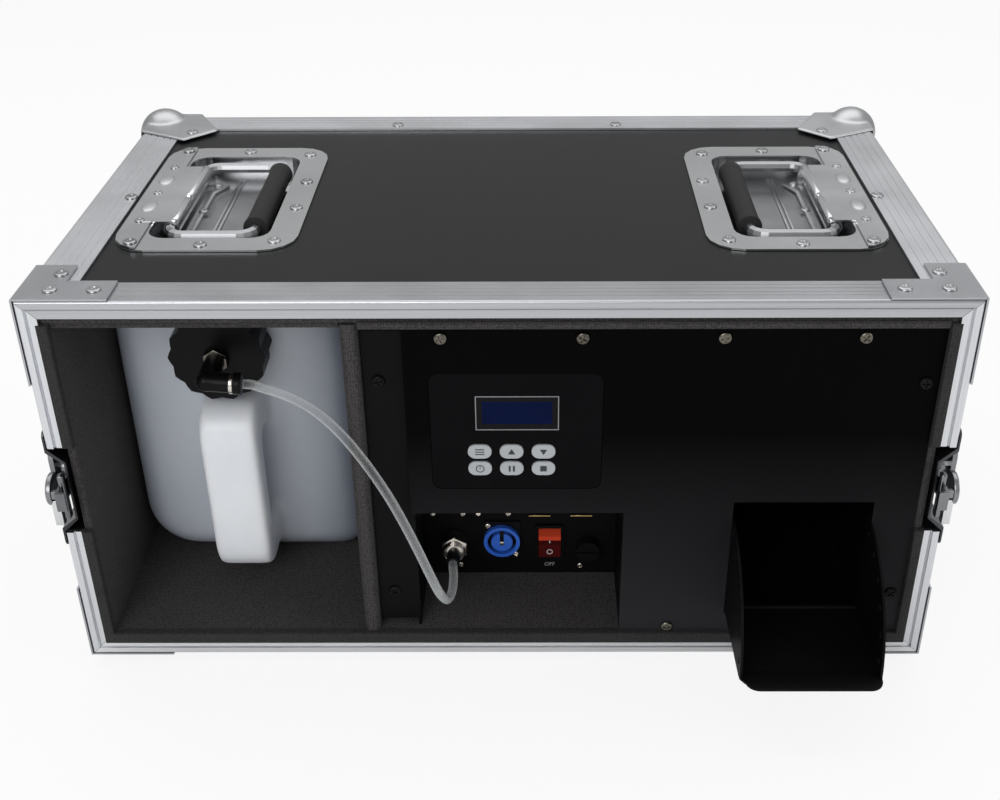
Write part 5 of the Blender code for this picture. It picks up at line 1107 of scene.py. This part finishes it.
# Painted light: the upper end of the rocker is coloured lighter, where light from above falls.
recolour(rocker_red, beyond(tree, axes["Z"], CASE_UNDERSIDE + ROCKER[1] + 0.0045), (0.74, 0.075, 0.030))
off_ring = ring_mark("rocker_off", ROCKER[0], ROCKER[1] - 0.0068, 0.0021, 0.0005, 0.0615)
settle(off_ring, "rocker", print_white)
on_bar = brick("rocker_on", (-0.0003, -0.00008, -0.0016), (0.0003, 0.00008, 0.0016))
on_bar.rotation_euler = (math.radians(-21.8), 0.0, 0.0)
on_bar.location = at(ROCKER[0], 0.0650 - 0.00545, ROCKER[1] + 0.0042)
settle(on_bar, "rocker", print_white)
print("rocker marked with a ring and a bar")

# %% Switch word


def small_word(name, words, x, z, size, material):
    bpy.ops.object.select_all(action="DESELECT")
    bpy.ops.object.text_add(location=at(x, 0.0649, z), rotation=(math.pi / 2, 0.0, 0.0))
    word = bpy.context.object
    word.name = name
    word.data.body = words
    word.data.size = size
    word.data.align_x = "CENTER"
    word.data.extrude = 0.00006
    bpy.ops.object.convert(target="MESH")
    settle(bpy.context.object, "case", material)


small_word("switch_off_word", "OFF", ROCKER[0], 0.0225, 0.0042, print_grey)
print("switch word set")

# %% Round sockets
SOCKET_UP = 0.0830
PIN_RING = 0.0042
for index, x in enumerate((-0.0390, -0.0080), 1):
    core = barrel(f"round_core_{index}", at(x, 0.0668, SOCKET_UP), 0.0093, 0.0016, (0, 1, 0), 40)
    edit(core)
    pick_faces(lambda centre, normal: normal.y < -0.9)
    bpy.ops.mesh.inset(thickness=0.0016, depth=-0.0006)
    done()
    settle(core, "case", finishes["black_plastic"])
    pins = []
    for turn in (math.pi, math.pi / 3, -math.pi / 3):
        spot = at(x + PIN_RING * math.sin(turn), 0.0655, SOCKET_UP + PIN_RING * math.cos(turn))
        pins.append(barrel("round_pin", spot, 0.0011, 0.0022, (0, 1, 0), 16))
    pins = weld(*pins)
    pins.name = f"round_pins_{index}"
    chamfer(pins, 0.0003, 2)
    settle(pins, "case", finishes["nickel"])
    lip = barrel(f"round_lip_{index}", at(x, 0.0626, SOCKET_UP), 0.0118, 0.0014, (0, 1, 0), 48)
    cut_with(lip, barrel("lip_room", at(x, 0.0626, SOCKET_UP), 0.0097, 0.01, (0, 1, 0), 48))
    chamfer(lip, 0.0004, 2)
    settle(lip, "case", finishes["nickel"])
print("round sockets dressed")

# %% Square sockets
brass = bare_metal("gold_contact", (0.62, 0.42, 0.16), (0.75, 0.54, 0.24), (0.2, 0.3), 700.0)
for index, x in enumerate((0.0236, 0.0520), 1):
    frame_piece = brick(f"square_frame_{index}", at(x - 0.0086, 0.0620, 0.0744), at(x + 0.0086, 0.0632, 0.0916))
    cut_with(frame_piece, brick("square_room", at(x - 0.0064, 0.0600, 0.0766), at(x + 0.0064, 0.0650, 0.0894)))
    chamfer(frame_piece, 0.0003, 2)
    settle(frame_piece, "case", finishes["black_plastic"])
    tongue = [brick("square_contact", at(x - 0.0040 + 0.00114 * step, 0.0655, 0.0785),
                    at(x - 0.0034 + 0.00114 * step, 0.0661, 0.0870)) for step in range(8)]
    tongue = weld(*tongue)
    tongue.name = f"square_contacts_{index}"
    chamfer(tongue, 0.0001)
    settle(tongue, "case", brass)
    strip = brick(f"square_strip_{index}", at(x - 0.0075, 0.0610, 0.0677), at(x + 0.0075, 0.0622, 0.0686))
    chamfer(strip, 0.0001)
    settle(strip, "case", brass)
print("square sockets dressed")

# %% [markdown]
# ## Rubber feet and grips
# Four turned rubber feet stand under the case. The handles' grips are rubber sleeves with a groove near each end. Both
# start as cylinders: the foot is tapered, inset and pushed in where its screw sits, then copied to its three other
# places. The grip is cut round near its ends, and the narrow bands between the cuts are sunk.

# %% Feet
FOOT_PLACES = [(across, back) for across in (-0.215, 0.215) for back in (0.050, 0.272)]
foot_model = barrel("foot_model", at(0.0, 0.0, -0.0036), 0.0163, 0.0106, (0, 0, 1), 40)
edit(foot_model)
pick_faces(lambda centre, normal: normal.z < -0.9)
bpy.ops.transform.resize(value=(0.87, 0.87, 1.0), center_override=at(0.0, 0.0, -0.0089))
bpy.ops.mesh.inset(thickness=0.0060, depth=0.0)
bpy.ops.mesh.inset(thickness=0.0010, depth=-0.0040)
done()
chamfer(foot_model, 0.0008, 2, 40.0)
for across, back in FOOT_PLACES:
    foot = bpy.data.objects.new("rubber_foot", foot_model.data.copy())
    bpy.context.scene.collection.objects.link(foot)
    foot.location = (across, back, 0.0)
    settle(foot, "case", finishes["rubber"])
bpy.data.objects.remove(foot_model)
print("feet:", len(FOOT_PLACES))

# %% Grips
GROOVE = (0.0380, 0.0400)
for side, label in ((-1, "left"), (1, "right")):
    centre = at(side * 0.15815, 0.161, 0.25795)
    sleeve = barrel(f"grip_sleeve_{label}", centre, 0.0082, 0.0975, (0, 1, 0), 40)
    edit(sleeve)
    for offset in (-GROOVE[1], -GROOVE[0], *GROOVE):
        slice_at(centre + Vector((0.0, offset, 0.0)), (0, 1, 0))
    pick_faces(lambda spot, normal: GROOVE[0] < abs(spot.y - centre.y) < GROOVE[1])
    bpy.ops.transform.shrink_fatten(value=-0.0007)
    done()
    chamfer(sleeve, 0.0008, 2, 50.0)
    settle(sleeve, f"handle_{label}", finishes["rubber"])
    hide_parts(f"handle_{label}_grip")
print("grips sleeved")

# %% [markdown]
# ## Handle pressings
# A sprung handle is pressed from sheet: its flange is riveted to the case all round, a cover plate hides the springs
# and ends in a rolled edge, and the floor is stiffened with ribs and a spring bracket. We write the places down once,
# for the left handle, and mirror them for the right one by changing the sign of the first coordinate. One short
# function makes each kind of pressing.

# %% Handle rivets and ovals
FLANGE = 0.2618
COVER = 0.2632
FLOOR = 0.2475
BAR_TOP = 0.2621
BRACKET_SHEET = 0.0022
COVER_EDGE = 0.225
FLANGE_RIVETS = ((-0.2296, 0.2416), (-0.1854, 0.2429), (-0.1412, 0.2370), (-0.1358, 0.1840), (-0.1358, 0.1380),
                 (-0.1412, 0.0850), (-0.1860, 0.0790), (-0.2296, 0.0804))
COVER_RIVETS = ((-0.2322, 0.2080), (-0.2322, 0.1610), (-0.2322, 0.1140))
COVER_OVALS = ((-0.2320, 0.1845), (-0.2320, 0.1375))
FLOOR_RIVETS = ((-0.2035, 0.2080), (-0.2035, 0.1610))


def oval_pressing(name, x, y, z, length, width, height):
    bpy.ops.object.select_all(action="DESELECT")
    bpy.ops.mesh.primitive_uv_sphere_add(segments=24, ring_count=12, radius=1.0, location=at(x, y, z))
    oval = bpy.context.object
    oval.name = name
    oval.scale = (width, length, height)
    bpy.ops.object.transform_apply(location=True, rotation=True, scale=True)
    edit(oval)
    slice_at(at(x, y, z), (0, 0, -1), drop=True)
    done()
    return oval


def rivet_handle(label, flip):
    places = [at(flip * x, y, COVER + 0.0001 if abs(x) > COVER_EDGE else FLANGE) for x, y in FLANGE_RIVETS]
    place_copies(rivet, f"handle_{label}_rivets", "case", places, (0, 0, 1), finishes["rivet_zinc"])
    places = [at(flip * x, y, COVER) for x, y in COVER_RIVETS]
    places += [at(flip * x, y, FLOOR + BRACKET_SHEET) for x, y in FLOOR_RIVETS]
    place_copies(small_rivet, f"handle_{label}_small_rivets", "case", places, (0, 0, 1), finishes["rivet_zinc"])
    pressed = weld(*[oval_pressing("cover_oval", flip * x, y, COVER - 0.0002, 0.0095, 0.0052, 0.0016)
                     for x, y in COVER_OVALS])
    pressed.name = f"handle_{label}_pressings"
    settle(pressed, "case", finishes["pressed_zinc"], 60.0)


print("rivets on a flange:", len(FLANGE_RIVETS))

# %% Rolled edge of the cover
ROLL_LENGTHS = ((0.1140, 0.1500), (0.1560, 0.2080))
ROLL_ACROSS = -0.2098


def roll_cover_edge(label, flip):
    rolls = []
    for near, far in ROLL_LENGTHS:
        roll = barrel("cover_roll", at(flip * ROLL_ACROSS, (near + far) / 2, COVER - 0.0012), 0.0027, far - near,
                      (0, 1, 0), 24)
        edit(roll)
        slice_at(at(0.0, 0.0, BAR_TOP), (0, 0, -1), drop=True)
        done()
        chamfer(roll, 0.0006, 2, 50.0)
        rolls.append(roll)
    rolled = weld(*rolls)
    rolled.name = f"handle_{label}_rolled_edge"
    settle(rolled, "case", finishes["zinc_steel"])


print("rolls on a cover:", len(ROLL_LENGTHS))

# %% Spring bracket and ribs
BRACKET_ACROSS = -0.2035
BRACKET_HALF = 0.0085
TONGUES = (0.1375, 0.1845)
TONGUE_HALF = 0.010
RIBS = (-0.1905, -0.1875)
RIB_HALF = 0.0008


def floor_bracket(label, flip):
    bracket = brick(f"handle_{label}_bracket", at(flip * BRACKET_ACROSS - BRACKET_HALF, 0.1120, FLOOR + 0.0001),
                    at(flip * BRACKET_ACROSS + BRACKET_HALF, 0.2100, FLOOR + BRACKET_SHEET))
    edit(bracket)
    for middle in TONGUES:
        slice_at(at(0.0, middle - TONGUE_HALF, 0.25), (0, 1, 0))
        slice_at(at(0.0, middle + TONGUE_HALF, 0.25), (0, 1, 0))
    pick_faces(lambda centre, normal: normal.x * flip > 0.9 and any(
        abs(centre.y - at(0, middle, 0).y) < 0.009 for middle in TONGUES))
    bpy.ops.transform.translate(value=(flip * -0.0075, 0.0, 0.0))
    done()
    chamfer(bracket, 0.0009, 3, 30.0)
    settle(bracket, "case", finishes["zinc_steel"])


def floor_ribs(label, flip):
    ribs = []
    for across in RIBS:
        rib = brick("cup_rib", at(flip * across - RIB_HALF, 0.1000, FLOOR + 0.0001),
                    at(flip * across + RIB_HALF, 0.2220, FLOOR + 0.0009))
        chamfer(rib, 0.0005, 2)
        ribs.append(rib)
    ribs = weld(*ribs)
    ribs.name = f"handle_{label}_ribs"
    settle(ribs, "case", finishes["zinc_steel"])


for label, flip in (("left", 1), ("right", -1)):
    rivet_handle(label, flip)
    roll_cover_edge(label, flip)
    floor_bracket(label, flip)
    floor_ribs(label, flip)
print("handles pressed and riveted")

# %% [markdown]
# ## Ball corners
# A ball corner is one pressing: three flat wings and a dome that flows into them through a soft saddle. We cut each
# wing from a plate with two slanted sides and a blunt nose, join the three wings and a ball, remesh them into one skin
# and relax it, and the saddle comes by itself. Cutting the case's own corner out of it afterwards leaves a sheet that
# sits on the rails. The four corners differ only in the way that they point, so one loop makes them all.

# %% Wing plates
PLATE_LEG = 0.038
PLATE_REACH = 0.057
PLATE_NOSE = 0.046
PLATE_SHEET = 0.0016
PLATE_DEPTH = 0.006
PLATE_SLANT = (0.034, 0.018)


def corner_brick(name, first, second):
    low = [min(pair) for pair in zip(first, second)]
    high = [max(pair) for pair in zip(first, second)]
    return brick(name, low, high)


def wing_plate(corner, outward, flat):
    one, two = [axis for axis in range(3) if axis != flat]
    far = corner - outward * PLATE_REACH
    far[flat] = corner[flat] - outward[flat] * PLATE_DEPTH
    plate = corner_brick("wing_plate", corner + outward * PLATE_SHEET, far)
    edit(plate)
    for first, second in ((one, two), (two, one)):
        spot = corner.copy()
        spot[first] -= outward[first] * PLATE_LEG
        lean = Vector((0.0, 0.0, 0.0))
        lean[first] = -outward[first] * PLATE_SLANT[0]
        lean[second] = outward[second] * PLATE_SLANT[1]
        slice_at(spot, lean, drop=True)
    spot = corner.copy()
    lean = Vector((0.0, 0.0, 0.0))
    for axis in (one, two):
        spot[axis] -= outward[axis] * PLATE_NOSE
        lean[axis] = -outward[axis]
    slice_at(spot, lean, drop=True)
    done()
    return plate


print("wing plates reach", PLATE_REACH, "m")

# %% Press the corners
BALL = 0.0196
BALL_INSET = 0.0106
CASE_CORNER = (0.275, 0.322, 0.262)
CASE_GAP = 0.0003
CASE_REACH = 0.07


def ball(centre, radius):
    bpy.ops.object.select_all(action="DESELECT")
    bpy.ops.mesh.primitive_uv_sphere_add(segments=64, ring_count=32, radius=radius, location=centre)
    bpy.ops.object.transform_apply(location=True, rotation=True, scale=True)
    return bpy.context.object


for side, side_label in ((-1, "left"), (1, "right")):
    for level, level_label in ((1, "top"), (-1, "bottom")):
        corner = at(side * CASE_CORNER[0], CASE_CORNER[1], CASE_CORNER[2] if level > 0 else 0.0)
        outward = Vector((side, 1.0, level))
        cap = wing_plate(corner, outward, 0)
        cap.name = f"ball_cap_{level_label}_{side_label}"
        for flat in (1, 2):
            cut_with(cap, wing_plate(corner, outward, flat), "UNION")
        cut_with(cap, ball(corner - outward * BALL_INSET, BALL), "UNION")
        only(cap)
        cap.data.remesh_voxel_size = 0.0011
        bpy.ops.object.voxel_remesh()
        modify(cap, "SMOOTH", factor=0.5, iterations=16)
        cut_with(cap, corner_brick("case_corner", corner + outward * CASE_GAP, corner - outward * CASE_REACH))
        settle(cap, "case", finishes["pressed_zinc"], 50.0)
        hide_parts(f"ball_corner_{level_label}_{side_label}")
        print(cap.name, "has", len(cap.data.polygons), "faces")

# %% [markdown]
# ## Latch claws
# The draw hook ends in a claw: a plate that stands across the pocket, a bright finger key in front of it and a round
# thumb disc on its outside. All slide with the hook when the wing turns. Stamped pieces are mostly flat faces with worn
# edges, so they are blocks and a cylinder with rounded edges, joined to the hook by a short tab and a post. The disc's
# back is cut flat, so that it stays clear of the wing's hub when the hook is drawn back.

# %% Latch claws
DISC_BACK = 0.0105


def sideways(side, near, far):
    return sorted((side * near, side * far))


for side, label in ((-1, "left"), (1, "right")):
    low, high = sideways(side, 0.2676, 0.2713)
    claw = brick(f"latch_claw_{label}", at(low, -0.0040, 0.1135), at(high, 0.0015, 0.1455))
    chamfer(claw, 0.0012, 3)
    settle(claw, f"latch_{label}_hook", finishes["dark_chrome"])
    low, high = sideways(side, 0.2728, 0.2780)
    key = brick(f"latch_key_{label}", at(low, -0.0036, 0.1085), at(high, 0.0022, 0.1270))
    low, high = sideways(side, 0.2708, 0.2740)
    cut_with(key, brick("key_tab", at(low, -0.0028, 0.1200), at(high, 0.0012, 0.1262)), "UNION")
    chamfer(key, 0.0014, 3)
    settle(key, f"latch_{label}_hook", finishes["zinc_steel"])
    low, high = sideways(side, 0.2769, 0.2801)
    disc = barrel(f"latch_disc_{label}", at((low + high) / 2, 0.0054, 0.1304), 0.0104, 0.0032, (1, 0, 0), 48)
    edit(disc)
    slice_at(at(0.0, DISC_BACK, 0.13), (0, 1, 0), drop=True)
    done()
    low, high = sideways(side, 0.2708, 0.2775)
    cut_with(disc, brick("disc_post", at(low, -0.0040, 0.1285), at(high, -0.0008, 0.1340)), "UNION")
    chamfer(disc, 0.0007, 2, 50.0)
    settle(disc, f"latch_{label}_hook", finishes["bright_rod"])
print("latches dressed")

# %% [markdown]
# ## Hopper lip
# The hopper's floor ends in a wider folded lip, which catches a thin line of light. It could be drawn out of the floor
# itself, but a piece of its own leaves the model's floor as it is. It is a thin block with rounded front corners,
# turned about the hinge line until it lies along the floor.

# %% Hopper lip
HINGE = at(0.1882, 0.0050, 0.0335)
FLOOR_SLOPE = 2.75
lip = brick("hopper_lip", HINGE + Vector((-0.0404, -0.0808, -0.0003)), HINGE + Vector((0.0434, -0.0640, 0.0018)))
edit(lip, "EDGE")
round_edges(0.0085, 6, lambda a, b: abs(a.z - b.z) > 0.001 and max(a.y, b.y) < HINGE.y - 0.07)
bpy.ops.mesh.select_all(action="SELECT")
bpy.ops.transform.rotate(value=math.radians(FLOOR_SLOPE), orient_axis="X", center_override=HINGE)
done()
chamfer(lip, 0.0005, 2)
settle(lip, "hopper", finishes["black_steel"])
tip = min((lip.matrix_world @ vertex.co for vertex in lip.data.vertices), key=lambda spot: spot.y)
print("lip reaches", [round(value, 4) for value in tip])

# %% [markdown]
# ## Clear the bench
# The rivets and screws that the copies came from have done their work. They ride on no body, so they are removed.

# %% Put the fastener models away
for model in (rivet, small_rivet, screw, small_screw):
    bpy.data.objects.remove(model)
print("models removed")
